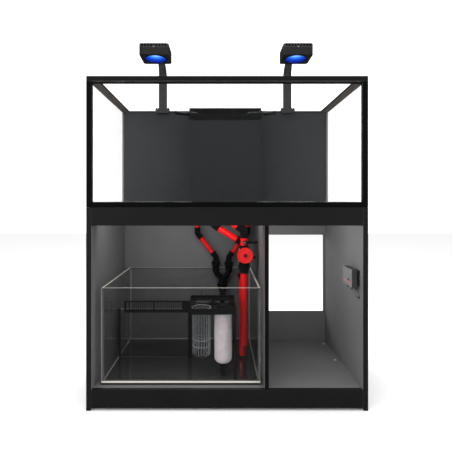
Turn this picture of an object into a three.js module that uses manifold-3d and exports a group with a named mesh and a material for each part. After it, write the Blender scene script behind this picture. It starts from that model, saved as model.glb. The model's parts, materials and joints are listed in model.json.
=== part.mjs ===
// Reef aquarium on an open-fronted cabinet, with a glass sump, its plumbing and two lamps on arms.
// Millimetres, +Z up, the front faces -Y. The origin is on the floor, under the middle of the object.
import * as THREE from "three";
import { mergeVertices } from "three/addons/utils/BufferGeometryUtils.js";
import Module from "manifold-3d";

const wasm = await Module();
wasm.setup();

// ---------- driving dimensions ----------
const WIDTH = 1200; // cabinet and tank
const DEPTH = 575; // cabinet and tank, front to back
const OVERALL_DEPTH = 612; // with the clamp knobs behind the tank
const CABINET_TOP = 865;
const TANK_TOP = 1425;
const GAP = 0.3; // between pieces that touch
const HALF = WIDTH / 2;

// cabinet boards
const SIDE = 22; // side panels
const BOARD = 18; // the other boards
const BACK = 10; // back panel
const FOOT_GAP = 11.5; // clear height under the plinth
const FLOOR_TOP = 89.3;
const MOUTH_TOP = 788; // lower edge of the front fascia
const DIVIDER_LEFT = 160;
const INSIDE = HALF - SIDE; // inner face of a side panel
const BACK_FACE = DEPTH - BACK; // inner face of the back panel

// tank
const GLASS = 10;
const BAND_TOP = 889; // top of the bottom band
const BRACE_LOW = 1403; // underside of the top brace
const BRACE_HIGH = 1413;
const POST = 23; // front corner posts, square
const PANE_TOP = BRACE_LOW - GAP;

// overflow weir
const WEIR_HALF = 199;
const WEIR_FRONT = 471;
const WEIR_WALL = 5;
const WEIR_CREST = 1371; // water spills over the front wall here
const WEIR_SIDE_TOP = 1402;
const RETURN_HEIGHT = 1381; // return outlets through the weir's sides

// pipes stand on this line behind the sump's chambers, and rise through the tank's floor
const RISER = 510;
const RETURN_R = 13;
const DRAIN_R = 18.5;
const EMERGENCY_R = 15.5;
const RETURN_LEFT = { x: -156, low: -52 };
const RETURN_RIGHT = { x: 125, low: 20 };
const RETURN_MIDDLE = -16;
const DRAIN = { x: 89, depth: 254, riserX: -14 };
const EMERGENCY = { x: 84, depth: 300, riserX: -66 };
const UNDER_TANK = 813; // height of the level runs above the cabinet's mouth

// lamps
const LAMP_X = 358;
const LAMP = { width: 147, front: 255, back: 386, bottom: 1618, split: 1656, top: 1674.5, corner: 9 };
const LAMP_MIDDLE = (LAMP.front + LAMP.back) / 2;
const BRACKET_TOP = 1427; // the arm stands on the bracket here
const CLAMP_HEIGHT = 1372; // axis of the clamp screw
const APERTURE_R = 53.5;
const SLOT = { radius: 4.4, front: 299, back: 381 }; // the arm's slot that the lamp's stud slides in
const ARM = { width: 47, tipWidth: 37, thick: 10, depth: 562, bend: 100, height: 1682, tip: 286 };

// sump
const SUMP = { left: -549, right: 146, front: 44, back: 557, bottom: 98, top: 512.5, glass: 8 };
const SUMP_FLOOR = SUMP.bottom + SUMP.glass;
const BAFFLE = { front: 296, right: -181.3, top: 349 };
const RACK = { front: 54, back: 294, leftFront: -160, leftBack: -178, right: 41, low: 393.5, tray: 405, top: 419 };
const CUP_X = -114;
const SOCK_X = -16;
const CUP_ROW = [115, 234]; // depths of the two rows of cup holes

// ---------- geometry helpers: x to the right, depth back from the front plane, z up ----------
const yOf = (depth) => depth - OVERALL_DEPTH / 2;

/** A block between two corners. */
function block(x0, x1, d0, d1, z0, z1) {
  const g = new THREE.BoxGeometry(x1 - x0, d1 - d0, z1 - z0);
  return g.translate((x0 + x1) / 2, yOf((d0 + d1) / 2), (z0 + z1) / 2);
}

/** A round rod between two points given as [x, depth, z]. */
function rod(from, to, radius, segments = 20) {
  const a = new THREE.Vector3(from[0], yOf(from[1]), from[2]);
  const b = new THREE.Vector3(to[0], yOf(to[1]), to[2]);
  const along = b.clone().sub(a);
  const g = new THREE.CylinderGeometry(radius, radius, along.length(), segments);
  g.translate(0, along.length() / 2, 0);
  g.applyQuaternion(new THREE.Quaternion().setFromUnitVectors(new THREE.Vector3(0, 1, 0), along.normalize()));
  return g.translate(a.x, a.y, a.z);
}

/** A ball at [x, depth, z]. */
function ball(at, radius, segments = 12) {
  return new THREE.SphereGeometry(radius, segments, 6).translate(at[0], yOf(at[1]), at[2]);
}

/** A turned piece: profile of [radius, height] pairs, on a vertical axis at x, depth. */
function turned(profile, x, depth, segments = 28) {
  const points = profile.map(([r, h]) => new THREE.Vector2(r, h));
  const g = new THREE.LatheGeometry(points, segments).rotateX(Math.PI / 2);
  return g.translate(x, yOf(depth), 0);
}

/** An outline of [x, z] pairs, with open holes, extruded from depth d0 to d1. */
function frontProfile(outline, d0, d1, holes = []) {
  const shape = polygon(outline);
  shape.holes.push(...holes);
  const g = new THREE.ExtrudeGeometry(shape, { depth: d1 - d0, bevelEnabled: false, curveSegments: 6 });
  return g.rotateX(Math.PI / 2).translate(0, yOf(d1), 0);
}

/** An outline of [depth, z] pairs extruded from x0 to x1. */
function sideProfile(outline, x0, x1) {
  const g = new THREE.ExtrudeGeometry(polygon(outline), { depth: x1 - x0, bevelEnabled: false });
  g.applyMatrix4(new THREE.Matrix4().set(0, 0, 1, x0, 1, 0, 0, yOf(0), 0, 1, 0, 0, 0, 0, 0, 1));
  return g;
}

/** An outline of [x, depth] pairs extruded from z0 to z1. */
function planProfile(outline, z0, z1) {
  const shape = polygon(outline.map(([x, d]) => [x, yOf(d)]));
  return new THREE.ExtrudeGeometry(shape, { depth: z1 - z0, bevelEnabled: false }).translate(0, 0, z0);
}

/** A closed outline of points. */
function polygon(points) {
  return new THREE.Shape(points.map(([a, b]) => new THREE.Vector2(a, b)));
}

/** A rectangle with round corners, as a path, for windows and slots. */
function roundRect(x0, x1, z0, z1, r) {
  return new THREE.Path()
    .moveTo(x0 + r, z0)
    .lineTo(x1 - r, z0).absarc(x1 - r, z0 + r, r, -Math.PI / 2, 0, false)
    .lineTo(x1, z1 - r).absarc(x1 - r, z1 - r, r, 0, Math.PI / 2, false)
    .lineTo(x0 + r, z1).absarc(x0 + r, z1 - r, r, Math.PI / 2, Math.PI, false)
    .lineTo(x0, z0 + r).absarc(x0 + r, z0 + r, r, Math.PI, 1.5 * Math.PI, false);
}

/** The rectangle with cut corners that a lamp has in plan, as [x, depth] pairs. */
function chamfered(x0, x1, d0, d1, c) {
  return [
    [x0 + c, d0], [x1 - c, d0], [x1, d0 + c], [x1, d1 - c],
    [x1 - c, d1], [x0 + c, d1], [x0, d1 - c], [x0, d0 + c],
  ];
}

/** A geometry as a solid, turned the right way out. */
function solidOf(geometry) {
  const bare = geometry.clone();
  bare.deleteAttribute("normal");
  bare.deleteAttribute("uv");
  const merged = mergeVertices(bare, 1e-3);
  const triVerts = new Uint32Array(merged.index.array);
  const build = () =>
    new wasm.Manifold(new wasm.Mesh({ numProp: 3, vertProperties: merged.attributes.position.array, triVerts }));
  const made = build();
  if (made.volume() >= 0) return made;
  for (let i = 0; i < triVerts.length; i += 3)
    [triVerts[i + 1], triVerts[i + 2]] = [triVerts[i + 2], triVerts[i + 1]];
  return build();
}

/** A solid as a geometry. */
function geometryOf(solid) {
  const { vertProperties, triVerts } = solid.getMesh();
  const g = new THREE.BufferGeometry();
  g.setAttribute("position", new THREE.BufferAttribute(new Float32Array(vertProperties), 3));
  g.setIndex(new THREE.BufferAttribute(new Uint32Array(triVerts), 1));
  g.computeVertexNormals();
  return g;
}

/** One geometry that holds all the given ones. */
const join = (...parts) => geometryOf(parts.map(solidOf).reduce((a, b) => a.add(b)));

/** The first geometry with the others cut out of it. */
const cut = (base, ...tools) => geometryOf(tools.map(solidOf).reduce((a, b) => a.subtract(b), solidOf(base)));

/** Pairs of edges of count slots that start at x. */
function run(x, count, pitch, width) {
  return Array.from({ length: count }, (_, i) => [x + i * pitch, x + i * pitch + width]);
}

/** A flat plate near the given depth with upright slots between heights z0 and z1. */
function slotted(plate, slots, depth, z0, z1) {
  return cut(plate, ...slots.map(([a, b]) => block(a, b, depth - 15, depth + 15, z0, z1)));
}

/** A pipe through the given points, with a round fitting that stands out by the given amount at each bend. */
function pipeRun(points, radius, fitting = 5) {
  const pieces = points.slice(1).map((p, i) => rod(points[i], p, radius, 12));
  const bends = points.slice(1, -1).map((p) => ball(p, radius + fitting));
  return join(...pieces, ...bends);
}

/** A flat bar that follows points of (depth, height), thick across its path and x0 to x1 wide. */
function bentBar(points, x0, x1, thick) {
  const upper = [];
  const lower = [];
  points.forEach((p, i) => {
    const before = points[Math.max(i - 1, 0)];
    const after = points[Math.min(i + 1, points.length - 1)];
    const along = after.clone().sub(before).normalize().multiplyScalar(thick / 2);
    upper.push([p.x - along.y, p.y + along.x]);
    lower.unshift([p.x + along.y, p.y - along.x]);
  });
  return sideProfile([...upper, ...lower], x0, x1);
}

// ---------- materials ----------
const finish = (color, roughness, metalness = 0, extra = {}) =>
  new THREE.MeshStandardMaterial({ color, roughness, metalness, ...extra });
const blackLaminate = finish(0x1d1b1b, 0.55);
const blackTrim = finish(0x070809, 0.35);
const clearGlass = finish(0xe8f2f0, 0.04, 0, { transparent: true, opacity: 0.25 });
const greyBackground = finish(0x35383b, 0.6);
const blackPlastic = finish(0x1b1c1e, 0.4);
const redPipe = finish(0xd81010, 0.3);
const darkMetal = finish(0x2a2a2c, 0.45, 0.4);
const reflectorBlue = finish(0x1240c8, 0.25);
const felt = finish(0xd6d0d2, 0.95);
const foam = finish(0x3a3a3a, 0.95);
const greyPlastic = finish(0x868786, 0.5);

const aquarium = new THREE.Group();
aquarium.name = "aquarium_on_stand";
const assembly = (parent) => {
  const g = new THREE.Group();
  parent.add(g);
  return g;
};
const add = (group, name, geometry, material) => {
  const mesh = new THREE.Mesh(geometry, material);
  mesh.name = name;
  group.add(mesh);
  return mesh;
};

// ---------- cabinet ----------
function sidePanel(side) {
  const foot = HALF - BOARD; // the foot narrows inwards at the floor
  const outline = [[INSIDE, FOOT_GAP], [foot, 0], [HALF, 0], [HALF, CABINET_TOP], [INSIDE, CABINET_TOP]];
  return frontProfile(outline.map(([x, z]) => [side * x, z]), 0, DEPTH);
}

function divider() {
  const front = BOARD + GAP;
  return sideProfile(
    [
      [1, FLOOR_TOP + GAP], [BACK_FACE - GAP, FLOOR_TOP + GAP], [BACK_FACE - GAP, CABINET_TOP - BOARD - 2 * GAP],
      [front, CABINET_TOP - BOARD - 2 * GAP], [front, MOUTH_TOP - GAP], [1, MOUTH_TOP - GAP],
    ],
    DIVIDER_LEFT,
    DIVIDER_LEFT + BOARD - 0.4,
  );
}

function backPanel() {
  const x = INSIDE - GAP;
  const outline = [[-x, FOOT_GAP], [x, FOOT_GAP], [x, CABINET_TOP - BOARD - 2 * GAP], [-x, CABINET_TOP - BOARD - 2 * GAP]];
  const window = roundRect(188, 568, 257, 699, 3);
  return frontProfile(outline, BACK_FACE, DEPTH, [window]);
}

function topBoard() {
  const x = INSIDE - GAP;
  const board = block(-x, x, BOARD + GAP, DEPTH, CABINET_TOP - BOARD - GAP, CABINET_TOP - GAP);
  return cut(board, block(-195, 165, 470, 552, CABINET_TOP - 40, CABINET_TOP + 10));
}

const cabinet = assembly(aquarium);
const inner = INSIDE - GAP;
add(cabinet, "side_panel_left", sidePanel(-1), blackLaminate);
add(cabinet, "side_panel_right", sidePanel(1), blackLaminate);
add(cabinet, "plinth", block(-inner, inner, 0, BOARD, FOOT_GAP, FLOOR_TOP), blackLaminate);
add(
  cabinet, "floor_board",
  block(-inner, inner, BOARD + GAP, BACK_FACE - GAP, FLOOR_TOP - BOARD, FLOOR_TOP), blackLaminate,
);
add(cabinet, "front_fascia", block(-inner, inner, 0, BOARD, MOUTH_TOP, CABINET_TOP - GAP), blackLaminate);
add(cabinet, "top_board", topBoard(), blackLaminate);
add(cabinet, "divider_panel", divider(), blackLaminate);
add(cabinet, "back_panel", backPanel(), blackLaminate);

// ---------- tank ----------
const TANK_LOW = CABINET_TOP + GAP;
const BACKGROUND_FRONT = 556;

function bottomFrame() {
  const rear = 15; // depth of a rear post, behind the background
  const ring = cut(
    block(-HALF, HALF, 0, DEPTH, TANK_LOW, BAND_TOP),
    block(-HALF + 12, HALF - 12, 12, DEPTH - 12, TANK_LOW - 5, BAND_TOP + 5),
  );
  const posts = [-1, 1].flatMap((side) => {
    const [a, b] = side < 0 ? [-HALF, -HALF + POST] : [HALF - POST, HALF];
    const [c, d] = side < 0 ? [-HALF, -HALF + 17] : [HALF - 17, HALF];
    return [
      block(a, b, 0, POST, BAND_TOP - 1, PANE_TOP),
      block(c, d, DEPTH - rear, DEPTH, BAND_TOP - 1, PANE_TOP),
    ];
  });
  return join(ring, ...posts);
}

function topFrame() {
  return cut(
    block(-HALF, HALF, 0, DEPTH, BRACE_LOW, TANK_TOP),
    block(-HALF + 50, HALF - 50, 44, 561, BRACE_LOW - 5, TANK_TOP + 5),
    block(-HALF + 6, HALF - 6, 6, DEPTH + 5, BRACE_HIGH, TANK_TOP + 5),
  );
}

function bottomPane() {
  const pane = block(-HALF + 12.5, HALF - 12.5, 12.5, DEPTH - 12.5, TANK_LOW + 2.7, TANK_LOW + 14.7);
  const hole = (x, r) => rod([x, RISER, TANK_LOW - 5], [x, RISER, TANK_LOW + 20], r + 1, 20);
  return cut(
    pane,
    hole(RETURN_LEFT.x, RETURN_R), hole(RETURN_RIGHT.x, RETURN_R),
    hole(DRAIN.riserX, DRAIN_R), hole(EMERGENCY.riserX, EMERGENCY_R),
  );
}

const PANE_LOW = BAND_TOP + GAP;
const TANK_FLOOR = TANK_LOW + 14.7;
const tank = assembly(aquarium);
add(tank, "tank_bottom_frame", bottomFrame(), blackTrim);
add(tank, "tank_top_frame", topFrame(), blackTrim);
add(tank, "tank_bottom_pane", bottomPane(), clearGlass);
const paneHalf = HALF - POST - GAP;
add(tank, "tank_front_pane", block(-paneHalf, paneHalf, 1.5, 1.5 + GLASS, PANE_LOW, PANE_TOP), clearGlass);
for (const [name, side] of [["left", -1], ["right", 1]]) {
  const xs = [side * (HALF - 1.5 - GLASS), side * (HALF - 1.5)].sort((a, b) => a - b);
  const pane = block(...xs, POST + GAP, BACKGROUND_FRONT - GAP, PANE_LOW, PANE_TOP);
  add(tank, `tank_${name}_pane`, pane, clearGlass);
}
const rearHalf = HALF - 17 - GAP;
add(tank, "tank_rear_pane", block(-rearHalf, rearHalf, 563.5, 563.5 + GLASS, PANE_LOW, PANE_TOP), clearGlass);
add(
  tank, "background_panel",
  block(-HALF + 1, HALF - 1, BACKGROUND_FRONT, BACKGROUND_FRONT + 3.7, PANE_LOW, PANE_TOP), greyBackground,
);

// ---------- overflow weir and return nozzles ----------
function weirBox() {
  const back = BACKGROUND_FRONT - GAP;
  const low = TANK_FLOOR + GAP;
  const x = WEIR_HALF;
  return cut(
    block(-x, x, WEIR_FRONT, back, low, WEIR_SIDE_TOP),
    block(-x + WEIR_WALL, x - WEIR_WALL, WEIR_FRONT + WEIR_WALL, back + 5, low - 5, WEIR_SIDE_TOP + 5),
    block(-x + WEIR_WALL, x - WEIR_WALL, WEIR_FRONT - 5, WEIR_FRONT + 10, WEIR_CREST, WEIR_SIDE_TOP + 5),
    rod([-x - 5, RISER, RETURN_HEIGHT], [x + 5, RISER, RETURN_HEIGHT], RETURN_R + 1, 20),
  );
}

/** The slotted comb in front of the weir's crest: three groups of upright slots between dividers. */
function weirComb() {
  const pitch = 12.5;
  const slot = 6.5;
  const wide = 11 * pitch - (pitch - slot); // an outer group of eleven slots
  const slots = [...run(-193, 11, pitch, slot), ...run(-34.5, 6, pitch, slot), ...run(193 - wide, 11, pitch, slot)];
  const front = WEIR_FRONT - 4 - GAP;
  return slotted(block(-WEIR_HALF, WEIR_HALF, front, WEIR_FRONT - GAP, 1344, 1406), slots, WEIR_FRONT, 1373, 1396);
}

/** A return nozzle: a tapering tube that points outwards, a little up and forwards, bored at its tip. */
function returnNozzle(side) {
  const root = new THREE.Vector3(side * (WEIR_HALF + 1), yOf(RISER), RETURN_HEIGHT);
  const profile = [[0, 0], [14, 0], [14, 10], [11, 16], [9.5, 52], [11, 80], [8, 80], [7.4, 44], [0, 44]];
  const g = new THREE.LatheGeometry(profile.map(([r, h]) => new THREE.Vector2(r, h)), 20);
  const aim = new THREE.Vector3(side, -0.2, 0.09).normalize();
  g.applyQuaternion(new THREE.Quaternion().setFromUnitVectors(new THREE.Vector3(0, 1, 0), aim));
  return g.translate(root.x + side * 3, root.y, root.z);
}

const weir = assembly(tank);
add(weir, "weir_box", weirBox(), greyBackground);
add(weir, "weir_comb", weirComb(), blackPlastic);
add(weir, "return_nozzle_left", geometryOf(solidOf(returnNozzle(-1))), blackPlastic);
add(weir, "return_nozzle_right", geometryOf(solidOf(returnNozzle(1))), blackPlastic);

// ---------- lamps ----------
/** The clamp bracket over the tank's rear rim: inner jaw with ears, bridge, and outer jaw. */
function lampBracket(x) {
  const ears = [
    [-30.5, 1396], [30.5, 1396], [41, 1411], [38.5, BRACKET_TOP], [32, BRACKET_TOP], [27.5, 1421],
    [-27.5, 1421], [-32, BRACKET_TOP], [-38.5, BRACKET_TOP], [-41, 1411],
  ];
  const jaw = frontProfile(ears.map(([a, z]) => [x + a, z]), 543, 553);
  const bridge = block(x - 27, x + 27, 548, 592, 1416, BRACKET_TOP - GAP);
  const outer = block(x - 27, x + 27, 584, 592, 1345, 1420);
  return cut(join(jaw, bridge, outer), rod([x, 580, CLAMP_HEIGHT], [x, 600, CLAMP_HEIGHT], 5.5, 16));
}

/** The clamp screw: pad against the glass, spindle through the outer jaw, and a lobed knob. */
function clampKnob(x) {
  const pad = rod([x, DEPTH - 1.2, CLAMP_HEIGHT], [x, DEPTH + 4, CLAMP_HEIGHT], 16, 20);
  const spindle = rod([x, DEPTH, CLAMP_HEIGHT], [x, 604, CLAMP_HEIGHT], 5, 16);
  const knob = rod([x, 596, CLAMP_HEIGHT], [x, OVERALL_DEPTH, CLAMP_HEIGHT], 14, 20);
  const lobes = [0, 1, 2, 3, 4].map((i) => {
    const a = (i * 2 * Math.PI) / 5;
    const at = (d) => [x + 13 * Math.cos(a), d, CLAMP_HEIGHT + 13 * Math.sin(a)];
    return rod(at(596.5), at(OVERALL_DEPTH - 0.5), 5, 12);
  });
  return join(pad, spindle, knob, ...lobes);
}

/** The arm: a flat bar that rises from the bracket, bends forwards, narrows, and carries the lamp in a slot. */
function lampArm(x) {
  const { width, tipWidth, thick, depth, bend, height, tip } = ARM;
  const arc = new THREE.EllipseCurve(depth - bend, height - bend, bend, bend, 0, Math.PI / 2);
  const path = [new THREE.Vector2(depth, BRACKET_TOP), ...arc.getPoints(10), new THREE.Vector2(tip, height)];
  const bar = bentBar(path, x - width / 2, x + width / 2, thick);
  const slotEnd = (d) => rod([x, d, height - 20], [x, d, height + 20], SLOT.radius, 16);
  const slot = block(x - SLOT.radius, x + SLOT.radius, SLOT.front, SLOT.back, height - 20, height + 20);
  const trims = [-1, 1].map((side) => {
    const at = (half) => x + side * half;
    const outline = [[at(width / 2), depth + 4], [at(tipWidth / 2), depth - 60], [at(tipWidth / 2), tip - 10], [at(width), tip - 10], [at(width), depth + 4]];
    return planProfile(outline, height - bend, height + 20);
  });
  return cut(bar, join(slotEnd(SLOT.front), slot, slotEnd(SLOT.back)), ...trims);
}

function lampHousing(x) {
  const half = LAMP.width / 2;
  const shell = planProfile(chamfered(x - half, x + half, LAMP.front, LAMP.back, LAMP.corner), LAMP.bottom, LAMP.split - GAP);
  const tab = block(x - 8, x + 8, LAMP.front, LAMP.front + 8, LAMP.split - 10, LAMP.split + 8);
  return cut(
    join(shell, tab),
    rod([x, LAMP_MIDDLE, LAMP.bottom - 5], [x, LAMP_MIDDLE, LAMP.split - 6], APERTURE_R, 32),
    rod([x, LAMP.front - 5, LAMP.split + 1], [x, LAMP.front + 5, LAMP.split + 1], 4.8, 16),
  );
}

/** The heat sink on top of a lamp: a plate over a row of air slots, with the stud and nut on the arm. */
function heatSink(x) {
  const half = LAMP.width / 2;
  const body = planProfile(chamfered(x - half, x + half, LAMP.front, LAMP.back, LAMP.corner), LAMP.split, LAMP.top);
  const slots = [-4, -3, -2, -1, 0, 1, 2, 3, 4].map((i) =>
    block(x + i * 14.5 - 4, x + i * 14.5 + 4, LAMP.front - 5, LAMP.back + 5, LAMP.split + 3, LAMP.top - 3),
  );
  const notch = block(x - 8.3, x + 8.3, LAMP.front - 5, LAMP.front + 8.3, LAMP.split - 5, LAMP.split + 8.3);
  const washer = rod([x, LAMP_MIDDLE, LAMP.top - 2], [x, LAMP_MIDDLE, ARM.height - 5.3], 12, 20);
  const stud = rod([x, LAMP_MIDDLE, LAMP.top - 2.5], [x, LAMP_MIDDLE, 1694], 4, 16);
  const nut = rod([x, LAMP_MIDDLE, ARM.height + 5.3], [x, LAMP_MIDDLE, 1696], 9, 12);
  return join(cut(body, ...slots, notch), washer, stud, nut);
}

/** The dish behind the lamp's aperture. */
function reflector(x) {
  const bowl = (r, z, n) =>
    Array.from({ length: n + 1 }, (_, i) => {
      const a = (i * Math.PI) / 2 / n;
      return [r * Math.cos(a), LAMP.bottom + 0.6 + z * Math.sin(a)];
    });
  const outer = bowl(APERTURE_R - 0.8, 30, 4);
  const lining = bowl(APERTURE_R - 3.2, 27, 4).reverse();
  outer[outer.length - 1][0] = 0;
  lining[0][0] = 0;
  return turned([...lining, ...outer], x, LAMP_MIDDLE, 24);
}

for (const [name, x] of [["left", -LAMP_X], ["right", LAMP_X]]) {
  const lamp = assembly(aquarium);
  add(lamp, `lamp_bracket_${name}`, lampBracket(x), darkMetal);
  add(lamp, `clamp_knob_${name}`, clampKnob(x), blackPlastic);
  add(lamp, `lamp_arm_${name}`, lampArm(x), darkMetal);
  add(lamp, `lamp_housing_${name}`, lampHousing(x), blackPlastic);
  add(lamp, `heat_sink_${name}`, heatSink(x), darkMetal);
  add(lamp, `reflector_${name}`, geometryOf(solidOf(reflector(x))), reflectorBlue);
  const z = LAMP.split + 1;
  add(lamp, `lamp_button_${name}`, rod([x, LAMP.front - 1.5, z], [x, LAMP.front + 3, z], 4.4, 16), greyPlastic);
}

// ---------- sump ----------
function sumpTank() {
  const { left, right, front, back, bottom, top, glass } = SUMP;
  return cut(
    block(left, right, front, back, bottom, top),
    block(left + glass, right - glass, front + glass, back - glass, SUMP_FLOOR, top + 5),
  );
}

/** The strainer comb on the baffle: a frame of upright slots either side of a divider. */
function strainerComb() {
  const slots = [[-501, -489], ...run(-482, 11, 10.8, 7), ...run(-358, 13, 10.8, 7)];
  const frame = block(-512, -181.5, BAFFLE.front - 5, BAFFLE.front - GAP, 331.5, 391.3);
  return slotted(frame, slots, BAFFLE.front, 349, 384);
}

/** The cup rack: a tray with a lip and four round holes, on a rear leg, with a short float rod. */
function mediaRack() {
  const { front, back, leftFront, leftBack, right, low, tray, top } = RACK;
  const wall = 4;
  const outline = [[leftFront, front], [right, front], [right, back], [leftBack, back]];
  const inside = [
    [leftFront + wall, front + wall], [right - wall, front + wall], [right - wall, back - wall], [leftBack + wall, back - wall],
  ];
  const holes = CUP_ROW.flatMap((d) => [CUP_X, SOCK_X].map((x) => rod([x, d, low], [x, d, top], 42, 24)));
  return join(
    cut(planProfile(outline, low, top), planProfile(inside, tray, top + 5), planProfile(inside, low - 5, tray - 4), ...holes),
    block(-181, -171, back - 10, back - 0.5, SUMP_FLOOR + GAP, tray - 2),
    rod([-122, back - 2, tray], [-122, back - 2, 446], 1.8, 8),
  );
}

/** A cup that hangs in the rack by its rim: outer radius, rim radius, lowest point, wall and corner rounding. */
function hangingCup(x, radius, rim, low, wall, corner) {
  const z = RACK.tray + GAP;
  const arc = (r, c, floor) =>
    [0, 1, 2, 3, 4].map((i) => {
      const a = (i * Math.PI) / 8;
      return [r - c + c * Math.sin(a), floor + c - c * Math.cos(a)];
    });
  const outer = [[0, low], ...arc(radius, corner, low), [radius, z], [rim, z], [rim, z + 3.7]];
  const lining = [[radius - wall, z + 3.7], ...arc(radius - wall, corner - wall, low + wall).reverse(), [0, low + wall]];
  return geometryOf(solidOf(turned([...outer, ...lining], x, CUP_ROW[0], 20)));
}

const sump = assembly(aquarium);
add(
  sump, "sump_mat",
  block(SUMP.left - 2, SUMP.right + 2, SUMP.front - 2, SUMP.back + 2, FLOOR_TOP + GAP, SUMP.bottom - GAP), foam,
);
add(sump, "sump_tank", sumpTank(), clearGlass);
add(
  sump, "sump_baffle",
  block(SUMP.left + SUMP.glass + GAP, BAFFLE.right, BAFFLE.front, BAFFLE.front + 8, SUMP_FLOOR + GAP, BAFFLE.top),
  clearGlass,
);
add(
  sump, "sump_partition",
  block(RACK.right - 8, RACK.right, RACK.front, RACK.back, SUMP_FLOOR + GAP, RACK.low - GAP), clearGlass,
);
add(sump, "strainer_comb", strainerComb(), blackPlastic);
add(sump, "media_rack", mediaRack(), blackPlastic);
add(sump, "filter_sock", hangingCup(SOCK_X, 41, 45, 161, 3, 22), felt);
add(sump, "media_cup", hangingCup(CUP_X, 39.5, 45, 185, 2.5, 12), clearGlass);

// ---------- plumbing ----------
/** Flange above and nut below the tank's floor, where a pipe of the given radius passes it. */
const bulkhead = (x, radius) => [
  rod([x, RISER, TANK_FLOOR + GAP], [x, RISER, TANK_FLOOR + 8], radius + 6.5, 20),
  rod([x, RISER, TANK_LOW - 8], [x, RISER, TANK_LOW + 2.4], radius + 6.5, 20),
];

function drainRun() {
  const { x, depth, riserX } = DRAIN;
  const path = [[x, depth, 709], [x, depth, 751], [riserX, depth, UNDER_TANK], [riserX, RISER, UNDER_TANK], [riserX, RISER, 1290]];
  return join(pipeRun(path, DRAIN_R), rod([x, depth, 709], [x, depth, 762], 24, 16), ...bulkhead(riserX, DRAIN_R));
}

function emergencyRun() {
  const { x, depth, riserX } = EMERGENCY;
  const path = [
    [x, depth, 640], [x, depth, 681], [riserX, depth, 776],
    [riserX, depth, UNDER_TANK], [riserX, RISER, UNDER_TANK], [riserX, RISER, 1352],
  ];
  return join(pipeRun(path, EMERGENCY_R, 4), ...bulkhead(riserX, EMERGENCY_R));
}

function emergencyPipe() {
  const { x, depth } = EMERGENCY;
  return join(
    rod([x, depth, 117], [x, depth, 610], EMERGENCY_R, 16),
    rod([x, depth, 498], [x, depth, 529], EMERGENCY_R + 10, 16),
    rod([x, depth, 604], [x, depth, 639.5], EMERGENCY_R + 4, 16),
  );
}

/** A return riser: union, bend outwards, bend up, through the tank's floor to its outlet. */
function returnRun({ x, low }, side) {
  const path = [
    [low, RISER, 557], [low, RISER, 580], [x, RISER, 712],
    [x, RISER, RETURN_HEIGHT], [side * (WEIR_HALF - 1), RISER, RETURN_HEIGHT],
  ];
  return join(pipeRun(path, RETURN_R, 3.5), rod([low, RISER, 556.6], [low, RISER, 582], RETURN_R + 3, 16), ...bulkhead(x, RETURN_R));
}

/** The wye that feeds both risers, with its three union nuts and the stub down to the pump. */
function returnWye() {
  const nuts = [RETURN_LEFT.low, RETURN_RIGHT.low].map((x) => rod([x, RISER, 517], [x, RISER, 556.3], 24.5, 16));
  const legs = [RETURN_LEFT.low, RETURN_RIGHT.low].map((x) =>
    pipeRun([[x, RISER, 520], [x, RISER, 494], [RETURN_MIDDLE, RISER, 456], [RETURN_MIDDLE, RISER, 430]], 16, 2.5),
  );
  return join(
    ...nuts, ...legs,
    rod([RETURN_MIDDLE, RISER, 407], [RETURN_MIDDLE, RISER, 435], 29.5, 16),
    rod([RETURN_MIDDLE, RISER, 385], [RETURN_MIDDLE, RISER, 410], 18.5, 16),
    rod([RETURN_MIDDLE, RISER, 207], [RETURN_MIDDLE, RISER, 390], 14, 16),
  );
}

function returnPump() {
  const x = RETURN_MIDDLE;
  return join(
    block(x - 40, x + 40, 452, 540, SUMP_FLOOR + GAP, 172),
    rod([x, 438, 139], [x, 456, 139], 27, 20),
    rod([x, RISER, 168], [x, RISER, 206.6], 19, 16),
  );
}

const VALVE_Z = 630;
const DIAL_X = 92;
function gateValveBody() {
  const { x, depth } = DRAIN;
  const lobes = [[-1, -1], [-1, 1], [1, -1], [1, 1]].map(([a, b]) =>
    rod([DIAL_X + 29 * a, 226, VALVE_Z + 29 * b], [DIAL_X + 29 * a, 238, VALVE_Z + 29 * b], 5.5, 12),
  );
  const plate = block(DIAL_X - 29, DIAL_X + 29, 226.5, 237.5, VALVE_Z - 29, VALVE_Z + 29);
  return cut(
    join(
      rod([x, depth, 584.3], [x, depth, 664], 24, 20),
      rod([x, depth, 663], [x, depth, 675.7], 22.5, 20),
      rod([DIAL_X, 232, VALVE_Z], [DIAL_X, depth, VALVE_Z], 22, 20),
      block(DIAL_X + 28, 146, 229, 236, VALVE_Z - 17, VALVE_Z - 6),
      plate, ...lobes,
    ),
    rod([DIAL_X, 220, VALVE_Z], [DIAL_X, 234, VALVE_Z], 6.5, 16),
  );
}

function gateValveDial() {
  const shaft = rod([DIAL_X, 214, VALVE_Z], [DIAL_X, 232, VALVE_Z], 6, 16);
  return join(rod([DIAL_X, 206, VALVE_Z], [DIAL_X, 218, VALVE_Z], 39, 40), shaft);
}

function drainUnion() {
  const { x, depth } = DRAIN;
  return join(
    rod([x, depth, 559], [x, depth, 584], 28.5, 24),
    rod([x, depth, 538], [x, depth, 562], 23, 20),
  );
}

const LEVER_Z = 692;
function ballValveBody() {
  const { x, depth } = DRAIN;
  return join(
    rod([x, depth, 676], [x, depth, 708.7], 17.5, 20),
    rod([x, 238, LEVER_Z], [x, depth, LEVER_Z], 9, 16),
  );
}

function ballValveLever() {
  const { x, depth } = DRAIN;
  return join(
    rod([x, 216, LEVER_Z], [x, depth - 17.8, LEVER_Z], 8.5, 20),
    block(x - 2, 155, 216.5, 226, LEVER_Z - 7.5, LEVER_Z + 8),
  );
}

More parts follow.
